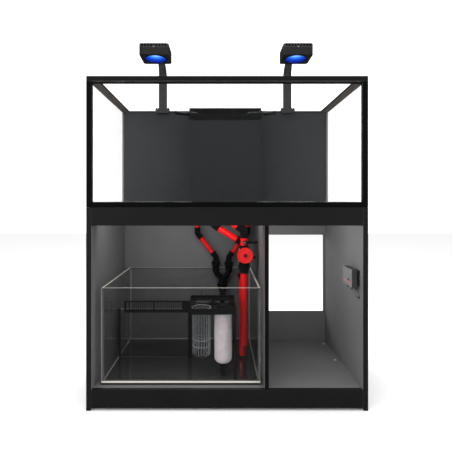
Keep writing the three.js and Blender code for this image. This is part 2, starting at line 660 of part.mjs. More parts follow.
const plumbing = assembly(aquarium);
add(plumbing, "drain_run", drainRun(), redPipe);
add(plumbing, "ball_valve_body", ballValveBody(), redPipe);
add(plumbing, "ball_valve_lever", ballValveLever(), blackPlastic);
add(plumbing, "gate_valve_body", gateValveBody(), blackPlastic);
add(plumbing, "gate_valve_dial", gateValveDial(), redPipe);
add(plumbing, "drain_union", drainUnion(), blackPlastic);
add(plumbing, "drain_pipe", rod([DRAIN.x, DRAIN.depth, 184], [DRAIN.x, DRAIN.depth, 537.7], DRAIN_R, 20), redPipe);
add(plumbing, "emergency_run", emergencyRun(), redPipe);
add(plumbing, "emergency_pipe", emergencyPipe(), redPipe);
add(plumbing, "return_run_left", returnRun(RETURN_LEFT, -1), redPipe);
add(plumbing, "return_run_right", returnRun(RETURN_RIGHT, 1), redPipe);
add(plumbing, "return_wye", returnWye(), blackPlastic);
add(plumbing, "return_pump", returnPump(), blackPlastic);

// ---------- controller on the right side panel ----------
const CASE = { left: 541, right: 567.2, front: 36, back: 146, low: 515, high: 594.5 };
const BUTTON = { depth: 72, z: 545, radius: 4 };
const LEAD = { x: 563, depth: 44, radius: 1.75, exitZ: 503.5, bendZ: 481, bend: 10, wallX: 573.6 };

function controllerCase() {
  const shell = block(CASE.left, CASE.right, CASE.front, CASE.back, CASE.low, CASE.high);
  const bore = rod([CASE.left - 5, BUTTON.depth, BUTTON.z], [CASE.left + 6, BUTTON.depth, BUTTON.z], BUTTON.radius + 0.5, 16);
  const relief = turned(
    [[0, LEAD.exitZ + GAP], [2.6, LEAD.exitZ + GAP], [4.2, CASE.low + 2], [0, CASE.low + 2]], LEAD.x, LEAD.depth, 14,
  );
  return join(cut(shell, bore), relief);
}

/** The lead: straight down out of its strain relief, then one bend into the side panel. */
function controllerLead() {
  const { x, depth, radius, exitZ, bendZ, bend } = LEAD;
  const y = yOf(depth);
  const points = [new THREE.Vector3(x, y, exitZ), new THREE.Vector3(x, y, 492), new THREE.Vector3(x, y, bendZ)];
  for (const turn of [30, 60, 90]) {
    const a = THREE.MathUtils.degToRad(turn);
    points.push(new THREE.Vector3(x + bend * (1 - Math.cos(a)), y, bendZ - bend * Math.sin(a)));
  }
  const path = new THREE.CatmullRomCurve3(points);
  const section = new THREE.Shape().absarc(0, 0, radius, 0, 2 * Math.PI, false);
  return new THREE.ExtrudeGeometry(section, { steps: 8, curveSegments: 4, bevelEnabled: false, extrudePath: path });
}

const controller = assembly(aquarium);
add(controller, "controller_case", controllerCase(), greyPlastic);
add(
  controller, "controller_bracket",
  block(CASE.right + GAP, INSIDE - GAP, 41, 141, 520, 590), blackPlastic,
);
add(
  controller, "controller_button",
  rod([CASE.left - 1.5, BUTTON.depth, BUTTON.z], [CASE.left + 4, BUTTON.depth, BUTTON.z], BUTTON.radius, 16), blackPlastic,
);
add(controller, "controller_lead", geometryOf(solidOf(controllerLead())), greyPlastic);
add(
  controller, "lead_grommet",
  rod(
    [LEAD.wallX + GAP, LEAD.depth, LEAD.bendZ - LEAD.bend], [INSIDE - GAP, LEAD.depth, LEAD.bendZ - LEAD.bend], 5.5, 16,
  ),
  blackPlastic,
);

export default aquarium;
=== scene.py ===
import json
import logging
import math
from abc import ABC, abstractmethod
from dataclasses import dataclass
from enum import Enum
from typing import Callable, Iterable, Sequence

import bmesh
import bpy
from bmesh.types import BMVert, BMesh
from bpy.types import ID, Material, Mesh, Node, NodeSocket, NodeTree, Object
from mathutils import Matrix, Vector

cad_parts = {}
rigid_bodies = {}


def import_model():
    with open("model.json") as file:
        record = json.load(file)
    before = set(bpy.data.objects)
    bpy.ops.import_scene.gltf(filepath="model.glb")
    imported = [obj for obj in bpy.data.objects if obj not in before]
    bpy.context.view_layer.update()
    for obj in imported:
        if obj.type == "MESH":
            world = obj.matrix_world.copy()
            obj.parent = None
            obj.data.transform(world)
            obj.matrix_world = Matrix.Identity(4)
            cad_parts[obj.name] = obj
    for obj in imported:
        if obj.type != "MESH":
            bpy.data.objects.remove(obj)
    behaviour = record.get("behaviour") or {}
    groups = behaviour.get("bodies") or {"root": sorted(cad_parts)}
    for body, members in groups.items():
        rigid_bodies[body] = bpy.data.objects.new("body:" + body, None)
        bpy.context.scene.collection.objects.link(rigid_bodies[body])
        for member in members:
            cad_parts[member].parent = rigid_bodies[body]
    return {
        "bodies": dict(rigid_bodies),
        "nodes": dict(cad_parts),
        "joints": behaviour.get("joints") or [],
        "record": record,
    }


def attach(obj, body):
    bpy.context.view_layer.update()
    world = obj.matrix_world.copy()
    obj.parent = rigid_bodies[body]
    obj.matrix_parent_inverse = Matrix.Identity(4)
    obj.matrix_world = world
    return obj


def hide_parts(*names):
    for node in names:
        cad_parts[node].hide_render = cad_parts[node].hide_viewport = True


log = logging.getLogger("aquarium")

MM = 0.001  # sizes below are in millimetres, and Blender's are in metres
HALF_DEPTH = 306.0  # from the front plane to the row frame's origin
Point = Sequence[float]
Span = tuple[float, float]
Triple = tuple[float, float, float]
Outline = list[Span]
Colour = tuple[float, float, float, float]


# ---- places and colours


def linear(code: str) -> Colour:
    """Turns an sRGB hex colour into linear values.

    Args:
        code: Six hex digits with a leading #.

    Returns:
        Red, green, blue and an alpha of 1.
    """
    parts = [int(code[i : i + 2], 16) / 255 for i in (1, 3, 5)]
    r, g, b = (c / 12.92 if c <= 0.04045 else ((c + 0.055) / 1.055) ** 2.4 for c in parts)
    return (r, g, b, 1.0)


def metres(point: Point) -> Vector:
    """Turns (x, depth back from the front plane, z) in millimetres into the row frame."""
    return Vector((point[0], point[1] - HALF_DEPTH, point[2])) * MM


class Axis(Enum):
    """The directions that a piece is turned or extruded along, with depth as the second."""

    RIGHT = (1.0, 0.0, 0.0)
    BACK = (0.0, 1.0, 0.0)
    UP = (0.0, 0.0, 1.0)
    LEFT = (-1.0, 0.0, 0.0)
    FRONT = (0.0, -1.0, 0.0)

    @property
    def vector(self) -> Vector:
        """The direction as a vector."""
        return Vector(self.value)


class Side(Enum):
    """The left or the right one of a pair."""

    LEFT = -1
    RIGHT = 1

    @property
    def word(self) -> str:
        """The side's name, as it ends the frame's node names."""
        return self.name.lower()


class Slot(Enum):
    """The record's material slots."""

    LAMINATE = "laminate"
    TRIM = "black_trim"
    GLASS = "clear_glass"
    PANEL = "grey_panel"
    BLACK = "black_plastic"
    RED = "red_pipe"
    METAL = "dark_metal"
    BLUE = "reflector_blue"
    FELT = "felt"
    FOAM = "foam"
    GREY = "grey_plastic"
    LEAD = "lead_rubber"


def add_node(
    tree: NodeTree, kind: str, settings: dict[str, object] | None = None,
    links: dict[str | int, NodeSocket] | None = None
) -> Node:
    """Adds one node with its settings and links.

    Args:
        tree: The tree that gets the node.
        kind: The node's type.
        settings: Values of its properties, in lower case, or of its inputs.
        links: Sockets that feed its inputs.

    Returns:
        The new node.
    """
    node = tree.nodes.new(kind)
    for name, value in (settings or {}).items():
        if isinstance(name, str) and name in node.bl_rna.properties:
            setattr(node, name, value)
        else:
            node.inputs[name].default_value = value
    for name, source in (links or {}).items():
        tree.links.new(source, node.inputs[name])
    return node


def tune(node: Node, values: dict[str, object]) -> None:
    """Sets a node's inputs.

    Args:
        node: The node.
        values: Values by input name.
    """
    for name, value in values.items():
        node.inputs[name].default_value = value


# ---- finishes


@dataclass(frozen=True)
class Finish(ABC):
    """A finish that is built once as a material."""

    name: str
    colour: str
    roughness: float = 0.5

    def material(self) -> Material:
        """The material, made at its first use."""
        known = bpy.data.materials.get(self.name)
        if known:
            return known
        made = bpy.data.materials.new(self.name)
        made.use_nodes = True
        made.diffuse_color = linear(self.colour)
        tree = made.node_tree
        shader = tree.nodes["Principled BSDF"]
        tune(shader, {"Base Color": linear(self.colour), "Roughness": self.roughness})
        self.dress(tree, shader)
        return made

    @abstractmethod
    def dress(self, tree: NodeTree, shader: Node) -> None:
        """Adds this finish's own nodes.

        Args:
            tree: The material's tree.
            shader: Its Principled shader.
        """

    @staticmethod
    def noise(tree: NodeTree, size: float, detail: float, stretch: Point) -> Node:
        """Adds noise that is fixed to the piece.

        Args:
            tree: The material's tree.
            size: Its size in millimetres.
            detail: How many finer layers it has.
            stretch: How many times finer it is along each axis.

        Returns:
            The noise node.
        """
        coords = add_node(tree, "ShaderNodeTexCoord")
        scaled = add_node(
            tree, "ShaderNodeMapping", {"Scale": tuple(stretch)}, {"Vector": coords.outputs["Object"]}
        )
        values = {"Scale": 1 / (size * MM), "Detail": detail}
        return add_node(tree, "ShaderNodeTexNoise", values, {"Vector": scaled.outputs[0]})

    def mottle(
        self, tree: NodeTree, shader: Node, size: float, other: str, rough: float = 0.06,
        stretch: Point = (1.0, 1.0, 1.0)
    ) -> None:
        """Varies colour and roughness in soft patches.

        Args:
            tree: The material's tree.
            shader: Its Principled shader.
            size: The patches' size in millimetres.
            other: The colour that the patches drift to.
            rough: How far roughness drifts either way.
            stretch: How many times finer the patches are along each axis.
        """
        noise = self.noise(tree, size, 3.0, stretch)
        mix = add_node(tree, "ShaderNodeMix", {"data_type": "RGBA"})
        mix.inputs[6].default_value, mix.inputs[7].default_value = linear(self.colour), linear(other)
        tree.links.new(noise.outputs["Fac"], mix.inputs[0])
        spread = add_node(
            tree,
            "ShaderNodeMapRange",
            {"To Min": self.roughness - rough, "To Max": self.roughness + rough},
            {"Value": noise.outputs["Fac"]},
        )
        tree.links.new(mix.outputs[2], shader.inputs["Base Color"])
        tree.links.new(spread.outputs[0], shader.inputs["Roughness"])

    def grain(
        self, tree: NodeTree, shader: Node, size: float, height: float, stretch: Point = (1.0, 1.0, 1.0)
    ) -> None:
        """Gives the surface a fine relief.

        Args:
            tree: The material's tree.
            shader: Its Principled shader.
            size: The grains' size in millimetres.
            height: Their height in millimetres.
            stretch: How many times finer they are along each axis.
        """
        noise = self.noise(tree, size, 2.0, stretch)
        bump = add_node(
            tree, "ShaderNodeBump", {"Strength": 0.6, "Distance": height * MM}, {"Height": noise.outputs["Fac"]}
        )
        tree.links.new(bump.outputs[0], shader.inputs["Normal"])


@dataclass(frozen=True)
class Melamine(Finish):
    """Melamine-faced board, pressed with a pearl texture: even colour, with a soft dull sheen."""

    drift: str = "#000000"

    def dress(self, tree: NodeTree, shader: Node) -> None:
        """Adds slow drift in tone and a pearl of 1.2 mm, coarser than the real 0.3 mm so that it shows."""
        self.mottle(tree, shader, 90, self.drift, 0.05)
        self.grain(tree, shader, 1.2, 0.05)
        tune(shader, {"Specular IOR Level": 0.35})


@dataclass(frozen=True)
class MouldedPlastic(Finish):
    """Injection-moulded ABS or PVC: spark-eroded skin, which breaks highlights up a little."""

    drift: str = "#000000"
    height: float = 0.03

    def dress(self, tree: NodeTree, shader: Node) -> None:
        """Adds moulding flow marks 30 mm wide and a skin grain of 0.9 mm."""
        self.mottle(tree, shader, 30, self.drift, 0.07)
        self.grain(tree, shader, 0.9, self.height)
        tune(shader, {"IOR": 1.5})


@dataclass(frozen=True)
class ExtrudedPipe(Finish):
    """Extruded pressure pipe: glossy, with faint die lines that run up the pipe."""

    drift: str = "#a00000"

    def dress(self, tree: NodeTree, shader: Node) -> None:
        """Adds die lines 2 mm apart that stay long in the pipe's direction."""
        self.mottle(tree, shader, 60, self.drift, 0.05, (1.0, 1.0, 0.2))
        self.grain(tree, shader, 2.0, 0.03, (1.0, 1.0, 0.05))
        tune(shader, {"IOR": 1.53, "Coat Weight": 0.35, "Coat Roughness": 0.08})


@dataclass(frozen=True)
class AnodisedAluminium(Finish):
    """Bead-blasted, dark anodised aluminium: satin and slightly metallic."""

    drift: str = "#1a1a1c"

    def dress(self, tree: NodeTree, shader: Node) -> None:
        """Adds a blasted grain of 0.8 mm."""
        self.mottle(tree, shader, 25, self.drift, 0.05)
        self.grain(tree, shader, 0.8, 0.02)
        tune(shader, {"Metallic": 0.25})


@dataclass(frozen=True)
class FloatGlass(Finish):
    """Low-iron float glass or clear acrylic: almost no tint, sharp reflections, and light passes it."""

    ior: float = 1.5

    def dress(self, tree: NodeTree, shader: Node) -> None:
        """Lets lamps' light through, and gives the panes the slow ripple of float glass."""
        tune(shader, {"Transmission Weight": 1.0, "IOR": self.ior})
        self.grain(tree, shader, 180, 0.02)
        clear = add_node(tree, "ShaderNodeBsdfTransparent", {"Color": linear(self.colour)})
        path = add_node(tree, "ShaderNodeLightPath")
        mix = add_node(
            tree, "ShaderNodeMixShader", {},
            {0: path.outputs["Is Shadow Ray"], 1: shader.outputs[0], 2: clear.outputs[0]}
        )
        tree.links.new(mix.outputs[0], tree.nodes["Material Output"].inputs["Surface"])


@dataclass(frozen=True)
class PolishedEdge(Finish):
    """The ground and polished edge of a pane, with painted glow: emission stands in for the light it gathers
    from the whole pane, so it looks white.
    """

    glow: float = 0.2
    drift: str = "#c9c4b6"

    def dress(self, tree: NodeTree, shader: Node) -> None:
        """Adds painted glow, an emission that stands in for gathered light, and the streaks that a grinding
        wheel leaves.
        """
        self.mottle(tree, shader, 120, self.drift, 0.05)
        tune(shader, {"Emission Color": linear(self.colour), "Emission Strength": self.glow, "IOR": 1.5})


@dataclass(frozen=True)
class SiliconeBead(Finish):
    """Tooled silicone sealant: smooth and softly shiny."""

    def dress(self, tree: NodeTree, shader: Node) -> None:
        """Adds the slow waves that a finger leaves along a bead."""
        self.grain(tree, shader, 14, 0.2)


@dataclass(frozen=True)
class NeedledFelt(Finish):
    """Needled polyester felt: matt and fuzzy, with a random tangle of fibres."""

    def dress(self, tree: NodeTree, shader: Node) -> None:
        """Adds a fibre tangle of 1.6 mm, needle rows, and the sheen of loose fibres."""
        self.mottle(tree, shader, 22, "#b9aeb2", 0.03)
        self.grain(tree, shader, 1.6, 0.7)
        tune(
            shader,
            {
                "Sheen Weight": 0.35, "Sheen Roughness": 0.5, "Subsurface Weight": 0.15,
                "Subsurface Radius": (0.004, 0.003, 0.003), "Specular IOR Level": 0.2,
            },
        )


@dataclass(frozen=True)
class ClosedCellFoam(Finish):
    """Closed-cell foam sheet, cut with a knife: matt, with open cells along its edge."""

    def dress(self, tree: NodeTree, shader: Node) -> None:
        """Adds cells of 1.5 mm."""
        self.mottle(tree, shader, 12, "#2a2a2b", 0.03)
        self.grain(tree, shader, 1.5, 0.4)
        tune(shader, {"Specular IOR Level": 0.15})


@dataclass(frozen=True)
class LitDish(Finish):
    """A vacuum-coated reflector dish with the lamp on, its light painted in as emission: bright round its apex,
    deep blue at its rim.
    """

    centre: Triple = (0.0, 0.0, 0.0)
    reach: float = 53.0
    strength: float = 1.0

    def dress(self, tree: NodeTree, shader: Node) -> None:
        """Paints the lamp's light on the dish as emission, by the distance from the light source at its apex.
        """
        coords = add_node(tree, "ShaderNodeTexCoord")
        moved = add_node(
            tree,
            "ShaderNodeMapping",
            {"Location": tuple(-c for c in metres(self.centre))},
            {"Vector": coords.outputs["Object"]},
        )
        far = add_node(tree, "ShaderNodeVectorMath", {"operation": "LENGTH"}, {0: moved.outputs[0]})
        share = add_node(
            tree, "ShaderNodeMapRange", {"From Min": 0.0, "From Max": self.reach * MM},
            {"Value": far.outputs["Value"]}
        )
        ramp = add_node(tree, "ShaderNodeValToRGB", {}, {0: share.outputs[0]})
        stops = (
            (0.0, "#f2fdff"), (0.36, "#9fe0ff"), (0.54, "#3c96ff"), (0.74, "#1450e0"), (0.91, "#0a228f"),
            (1.0, "#03083a"),
        )
        for place, code in stops[1:-1]:
            ramp.color_ramp.elements.new(place).color = linear(code)
        ramp.color_ramp.elements[0].color = linear(stops[0][1])
        ramp.color_ramp.elements[-1].color = linear(stops[-1][1])
        tree.links.new(ramp.outputs[0], shader.inputs["Emission Color"])
        tune(shader, {"Emission Strength": self.strength, "Metallic": 0.3})


@dataclass(frozen=True)
class LightSource(Finish):
    """A lit diode's lens: clear silicone over a glowing chip."""

    strength: float = 4.0

    def dress(self, tree: NodeTree, shader: Node) -> None:
        """Makes the lens glow in its own colour."""
        tune(shader, {"Emission Color": linear(self.colour), "Emission Strength": self.strength})


class Finishes:
    """Every finish of the aquarium, named for what it is."""

    BLACK_BOARD = Melamine("black_melamine_board", "#1a1818", 0.5, "#151313")
    GREY_BOARD = Melamine("grey_melamine_board", "#6c6c6c", 0.48, "#646465")
    EDGE_BAND = MouldedPlastic("black_abs_edge_band", "#0b0b0b", 0.45, "#060606")
    TRIM = MouldedPlastic("black_pvc_trim", "#050608", 0.3, "#030405", 0.02)
    RIM = MouldedPlastic("satin_rim_profile", "#131415", 0.42, "#0e0f10", 0.02)
    GLASS = FloatGlass("low_iron_float_glass", "#fefefe", 0.01)
    # painted glow on pane edges: emission stands for light carried through the glass, strong on polished edges
    # and faint on bonded ones
    EDGE = PolishedEdge("polished_glass_edge", "#d2cfc7", 0.3, 0.16)
    BONDED = PolishedEdge("bonded_glass_edge", "#6e7072", 0.3, 0.02, "#5e6062")
    SEALANT = SiliconeBead("black_silicone", "#0c0c0d", 0.35)
    CLEAR_SEALANT = SiliconeBead("translucent_silicone", "#8f8e8a", 0.3)
    BACKGROUND = MouldedPlastic("dark_grey_background_sheet", "#33373a", 0.5, "#2d3033", 0.01)
    WEIR = MouldedPlastic("grey_acrylic_weir", "#2c2f33", 0.35, "#27292c", 0.01)
    BLACK_ABS = MouldedPlastic("black_moulded_abs", "#141516", 0.36, "#0b0c0d")
    FITTING = MouldedPlastic("black_pvc_fitting", "#101113", 0.3, "#0a0b0c", 0.03)
    RED_PIPE = ExtrudedPipe("red_pvc_pipe", "#f01212", 0.24, "#c80a0a")
    RED_ABS = MouldedPlastic("red_moulded_abs", "#e01010", 0.3, "#c40c0c")
    METAL = AnodisedAluminium("dark_anodised_aluminium", "#4a4a4b", 0.42, "#3c3c3e")
    SCREW = AnodisedAluminium("blackened_steel", "#0e0e10", 0.35)
    BRIGHT_SCREW = AnodisedAluminium("zinc_plated_steel", "#8c8c8c", 0.3, "#6c6c6c")
    FELT = NeedledFelt("white_needled_felt", "#d9d1d4", 0.95)
    FOAM = ClosedCellFoam("black_closed_cell_foam", "#3a3a3a", 0.9)
    GREY_ABS = MouldedPlastic("light_grey_abs", "#777778", 0.42, "#717273", 0.01)
    STRIPE = MouldedPlastic("coral_stripe", "#c8686c", 0.4, "#c06064", 0.005)
    WHITE_CAP = MouldedPlastic("white_cover_cap", "#dcdcd8", 0.4, "#d0d0cc", 0.01)
    SHEATH = MouldedPlastic("grey_cable_sheath", "#5c5c5e", 0.55, "#505052", 0.02)
    # painted light: a lighter brown-grey for the black frame's underside, standing in for the light that falls
    # on it
    UNDERSIDE = MouldedPlastic("brown_grey_brace_underside", "#827a75", 0.5, "#736b66", 0.02)
    LAMP_SHELL = AnodisedAluminium("dark_lamp_shell", "#303031", 0.4, "#262627")
    ACRYLIC = FloatGlass("clear_acrylic", "#f2f5f5", 0.06, 1.49)
    FROSTED = MouldedPlastic("frosted_acrylic_ring", "#9a9c9e", 0.4, "#8c8e90", 0.01)
    GREY_RING = MouldedPlastic("dark_grey_ring", "#2a2b2d", 0.35, "#232426")
    DARK_CASE = MouldedPlastic("brown_black_case", "#3a3735", 0.4, "#333130")
    STUDIO_FLOOR = MouldedPlastic("pale_studio_floor", "#ffffff", 0.8, "#ffffff", 0.0)
    LENS = LightSource("cyan_diode_lens", "#8fdcff", 0.15, 3.0)
    BLUE_LENS = LightSource("blue_diode_lens", "#2f7bff", 0.15, 2.5)


# ---- meshes


class Solid:
    """A mesh put together from simple shapes, in millimetres as (x, depth, z)."""

    def __init__(self) -> None:
        """Starts with nothing."""
        self.whole = bmesh.new()

    def absorb(self, part: BMesh, bevel: float = 0.0, segments: int = 2) -> "Solid":
        """Takes one closed shape in.

        Args:
            part: The shape, which is used up.
            bevel: The radius of its sharp edges.
            segments: Faces across such an edge.

        Returns:
            This solid.
        """
        bmesh.ops.recalc_face_normals(part, faces=part.faces)
        if bevel > 0:
            sharp = [e for e in part.edges if e.is_manifold and e.calc_face_angle(0.0) > math.radians(32)]
            bmesh.ops.bevel(
                part, geom=sharp, offset=bevel, offset_type="OFFSET", segments=segments, profile=0.5,
                affect="EDGES", clamp_overlap=True,
            )
        held = bpy.data.meshes.new("held")
        part.to_mesh(held)
        part.free()
        self.whole.from_mesh(held)
        bpy.data.meshes.remove(held)
        return self

    def block(self, x: Point, depth: Point, z: Point, bevel: float = 0.0, segments: int = 2) -> "Solid":
        """Adds a block.

        Args:
            x: Its left and right faces.
            depth: Its front and back faces.
            z: Its lower and upper faces.
            bevel: The radius of its edges.
            segments: Faces across an edge.

        Returns:
            This solid.
        """
        part = bmesh.new()
        size = Vector((x[1] - x[0], depth[1] - depth[0], z[1] - z[0]))
        middle = Vector((x[0] + x[1], depth[0] + depth[1], z[0] + z[1])) / 2
        bmesh.ops.create_cube(part, size=1.0, matrix=Matrix.Translation(middle) @ Matrix.Diagonal((*size, 1.0)))
        return self.absorb(part, bevel, segments)

    def turned(
        self, profile: Outline, base: Point, axis: Vector | Axis = Axis.UP, segments: int = 40,
        closed: bool = False
    ) -> "Solid":
        """Adds a turned shape.

        Args:
            profile: (radius, height along the axis) pairs, which start and end on the axis.
            base: The point on the axis where height is 0.
            axis: The axis's direction.
            segments: Faces round it.
            closed: True for a ring, whose last pair joins its first.

        Returns:
            This solid.
        """
        direction = axis.vector if isinstance(axis, Axis) else Vector(axis).normalized()
        turn = direction.to_track_quat("Z", "Y").to_matrix().to_4x4()
        where = Matrix.Translation(Vector(base)) @ turn
        part = bmesh.new()
        rings: list[list[BMVert]] = []
        for radius, height in profile:
            if radius < 1e-6:
                rings.append([part.verts.new(where @ Vector((0, 0, height)))])
                continue
            angles = (2 * math.pi * i / segments for i in range(segments))
            points = (Vector((radius * math.cos(a), radius * math.sin(a), height)) for a in angles)
            rings.append([part.verts.new(where @ point) for point in points])
        pairs = list(zip(rings, rings[1:]))
        if closed:
            pairs.append((rings[-1], rings[0]))
        for low, high in pairs:
            for i in range(segments):
                j = (i + 1) % segments
                if len(low) == 1 and len(high) == 1:
                    continue
                corners = (
                    [low[0], high[j], high[i]] if len(low) == 1
                    else [low[i], low[j], high[0]] if len(high) == 1
                    else [low[i], low[j], high[j], high[i]]
                )
                part.faces.new(corners)
        return self.absorb(part)

    def rod(self, start: Point, end: Point, radius: float, edge: float = 0.6, segments: int = 32) -> "Solid":
        """Adds a round bar with eased ends.

        Args:
            start: The middle of its first end.
            end: The middle of its other end.
            radius: Its radius.
            edge: How far its ends are eased.
            segments: Faces round it.

        Returns:
            This solid.
        """
        along = Vector(end) - Vector(start)
        length, cut = along.length, min(edge, radius * 0.5, along.length * 0.3)
        profile = [
            (0, 0), (radius - cut, 0), (radius - 0.3 * cut, 0.3 * cut), (radius, cut), (radius, length - cut),
            (radius - 0.3 * cut, length - 0.3 * cut), (radius - cut, length), (0, length),
        ]
        return self.turned(profile, start, along, segments)

    def prism(
        self, outline: Outline, axis: Axis, low: float, high: float, bevel: float = 0.0, segments: int = 2,
        holes: Sequence[Outline] = ()
    ) -> "Solid":
        """Adds an outline extruded along an axis.

        Args:
            outline: Points in the other two coordinates, in the order x, depth, z.
            axis: RIGHT, BACK or UP.
            low: Where it starts along the axis.
            high: Where it ends.
            bevel: The radius of its sharp edges.
            segments: Faces across such an edge.
            holes: Outlines that are left open.

        Returns:
            This solid.
        """
        lift = {
            Axis.RIGHT: lambda a, b, t: (t, a, b),
            Axis.BACK: lambda a, b, t: (a, t, b),
            Axis.UP: lambda a, b, t: (a, b, t),
        }[axis]
        part = bmesh.new()
        loops = []
        for points in (outline, *holes):
            loop = [part.verts.new(lift(a, b, low)) for a, b in points]
            loops.append([part.edges.new((loop[i - 1], loop[i])) for i in range(len(loop))])
        if holes:
            bmesh.ops.triangle_fill(part, edges=[e for loop in loops for e in loop], use_beauty=True)
            bmesh.ops.dissolve_limit(part, angle_limit=0.01, verts=part.verts, edges=part.edges)
        else:
            bmesh.ops.contextual_create(part, geom=part.edges)
        grown = bmesh.ops.extrude_face_region(part, geom=part.faces[:])
        moved = [v for v in grown["geom"] if isinstance(v, BMVert)]
        bmesh.ops.translate(part, verts=moved, vec=axis.vector * (high - low))
        return self.absorb(part, bevel, segments)

    def piece(self, name: str, *finishes: Finish, smooth: float = 35) -> Object:
        """Ends the solid as an object in the row frame.

        Args:
            name: The object's name.
            finishes: The finishes, in the order of the faces' material indices.
            smooth: Edges flatter than this many degrees look smooth.

        Returns:
            The object, at the origin, with its place in its mesh.
        """
        for vertex in self.whole.verts:
            vertex.co = metres(vertex.co)
        mesh = bpy.data.meshes.new(name)
        self.whole.to_mesh(mesh)
        self.whole.free()
        return settle(mesh, name, finishes, smooth)


def new_object(name: str, data: ID) -> Object:
    """Makes an object from its mesh, curve, camera or light, in the scene."""
    made = bpy.data.objects.new(name, data)
    bpy.context.scene.collection.objects.link(made)
    return made


def settle(mesh: Mesh, name: str, finishes: Iterable[Finish], smooth: float = 35) -> Object:
    """Makes a mesh an object of the scene.

    Args:
        mesh: The mesh, in the row frame.
        name: The object's name.
        finishes: Its finishes, in the order of its material indices.
        smooth: Edges flatter than this many degrees look smooth.

    Returns:
        The object.
    """
    for index, one in enumerate(finishes):
        if index < len(mesh.materials):
            mesh.materials[index] = one.material()
        else:
            mesh.materials.append(one.material())
    mesh.shade_smooth()
    mesh.set_sharp_from_angle(angle=math.radians(smooth))
    made = new_object(name, mesh)
    even = made.modifiers.new("flat_faces_stay_flat", "WEIGHTED_NORMAL")
    even.weight, even.keep_sharp = 100, True
    graph = bpy.context.evaluated_depsgraph_get()
    made.data = bpy.data.meshes.new_from_object(made.evaluated_get(graph))
    made.data.name = name
    made.modifiers.remove(even)
    bpy.data.meshes.remove(mesh)
    return made


def baked(source: Object, name: str, finishes: Iterable[Finish], smooth: float = 35) -> Object:
    """Turns an object with modifiers into a plain one, and removes the first.

    Args:
        source: The object with modifiers.
        name: The new object's name.
        finishes: Its finishes.
        smooth: Edges flatter than this many degrees look smooth.

    Returns:
        The plain object.
    """
    graph = bpy.context.evaluated_depsgraph_get()
    mesh = bpy.data.meshes.new_from_object(source.evaluated_get(graph))
    mesh.name = name
    bpy.data.objects.remove(source)
    return settle(mesh, name, finishes, smooth)


def eased(
    node: str, bevel: float, finishes: Sequence[Finish], choose: Callable[[Vector], int] | None = None,
    segments: int = 2, smooth: float = 35
) -> Object:
    """Copies a frame node with eased edges, and stands for it.

    Args:
        node: The frame node.
        bevel: The radius of its edges in millimetres.
        finishes: The finishes to choose from.
        choose: From a face's normal to the index of its finish.
        segments: Faces across an edge.
        smooth: Edges flatter than this many degrees look smooth.

    Returns:
        The piece.
    """
    shape = bmesh.new()
    shape.from_mesh(NODES[node].data)
    bmesh.ops.remove_doubles(shape, verts=shape.verts, dist=1e-5)
    bmesh.ops.dissolve_limit(shape, angle_limit=math.radians(1), verts=shape.verts, edges=shape.edges)
    for face in shape.faces:
        face.material_index = choose(face.normal) if choose else 0
    rough = bpy.data.meshes.new(node + "_rough")
    shape.to_mesh(rough)
    shape.free()
    held = new_object(node + "_rough", rough)
    for one in finishes:
        rough.materials.append(one.material())
    soft = held.modifiers.new("eased", "BEVEL")
    soft.width, soft.segments = bevel * MM, segments
    soft.limit_method, soft.angle_limit = "ANGLE", math.radians(32)
    soft.use_clamp_overlap = True
    piece = baked(held, node + "_finished", finishes, smooth)
    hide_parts(node)
    return piece


NODES: dict[str, Object] = {}  # the frame's nodes by name, once the frame is loaded


# ---- shapes that repeat


INT, REAL, VECTOR = "NodeSocketInt", "NodeSocketFloat", "NodeSocketVector"


class Rule:
    """A Geometry Nodes tree with named inputs, and a way to make a piece from it."""

    def __init__(self, name: str, inputs: dict[str, str]) -> None:
        """Starts the tree.

        Args:
            name: The tree's name.
            inputs: Socket types by input name.
        """
        self.tree = bpy.data.node_groups.new(name, "GeometryNodeTree")
        self.tree.interface.new_socket("Geometry", in_out="INPUT", socket_type="NodeSocketGeometry")
        self.ids = {
            label: self.tree.interface.new_socket(label, in_out="INPUT", socket_type=kind).identifier
            for label, kind in {**inputs, "Material": "NodeSocketMaterial"}.items()
        }
        self.tree.interface.new_socket("Geometry", in_out="OUTPUT", socket_type="NodeSocketGeometry")
        self.start = add_node(self.tree, "NodeGroupInput")

    def __getitem__(self, label: str) -> NodeSocket:
        """The socket that carries the named input."""
        return self.start.outputs[label]

    def end(self, geometry: NodeSocket) -> None:
        """Ends the tree with Realize Instances and Set Material."""
        real = add_node(self.tree, "GeometryNodeRealizeInstances", {}, {0: geometry})
        dressed = add_node(
            self.tree, "GeometryNodeSetMaterial", {},
            {"Geometry": real.outputs[0], "Material": self["Material"]}
        )
        add_node(self.tree, "NodeGroupOutput", {}, {0: dressed.outputs[0]})

    def make(
        self, name: str, finish: Finish, values: dict[str, object], bevel: float = 0.0,
        route: Sequence[Point] = ()
    ) -> Object:
        """Makes one piece.

        Args:
            name: Its name.
            finish: Its finish.
            values: Values by input name, in metres where they are sizes.
            bevel: The radius of its edges in millimetres.
            route: For a piece that follows a path, the path's points in millimetres.

        Returns:
            A plain mesh object.
        """
        mesh = bpy.data.meshes.new(name + "_seed")
        if route:
            mesh.from_pydata([metres(p) for p in route], [(i, i + 1) for i in range(len(route) - 1)], [])
        held = new_object(name + "_seed", mesh)
        grown = held.modifiers.new(self.tree.name, "NODES")
        grown.node_group = self.tree
        for label, value in {**values, "Material": finish.material()}.items():
            grown[self.ids[label]] = value
        if bevel:
            soft = held.modifiers.new("eased", "BEVEL")
            soft.width, soft.segments, soft.limit_method = bevel * MM, 2, "ANGLE"
        return baked(held, name, [finish])


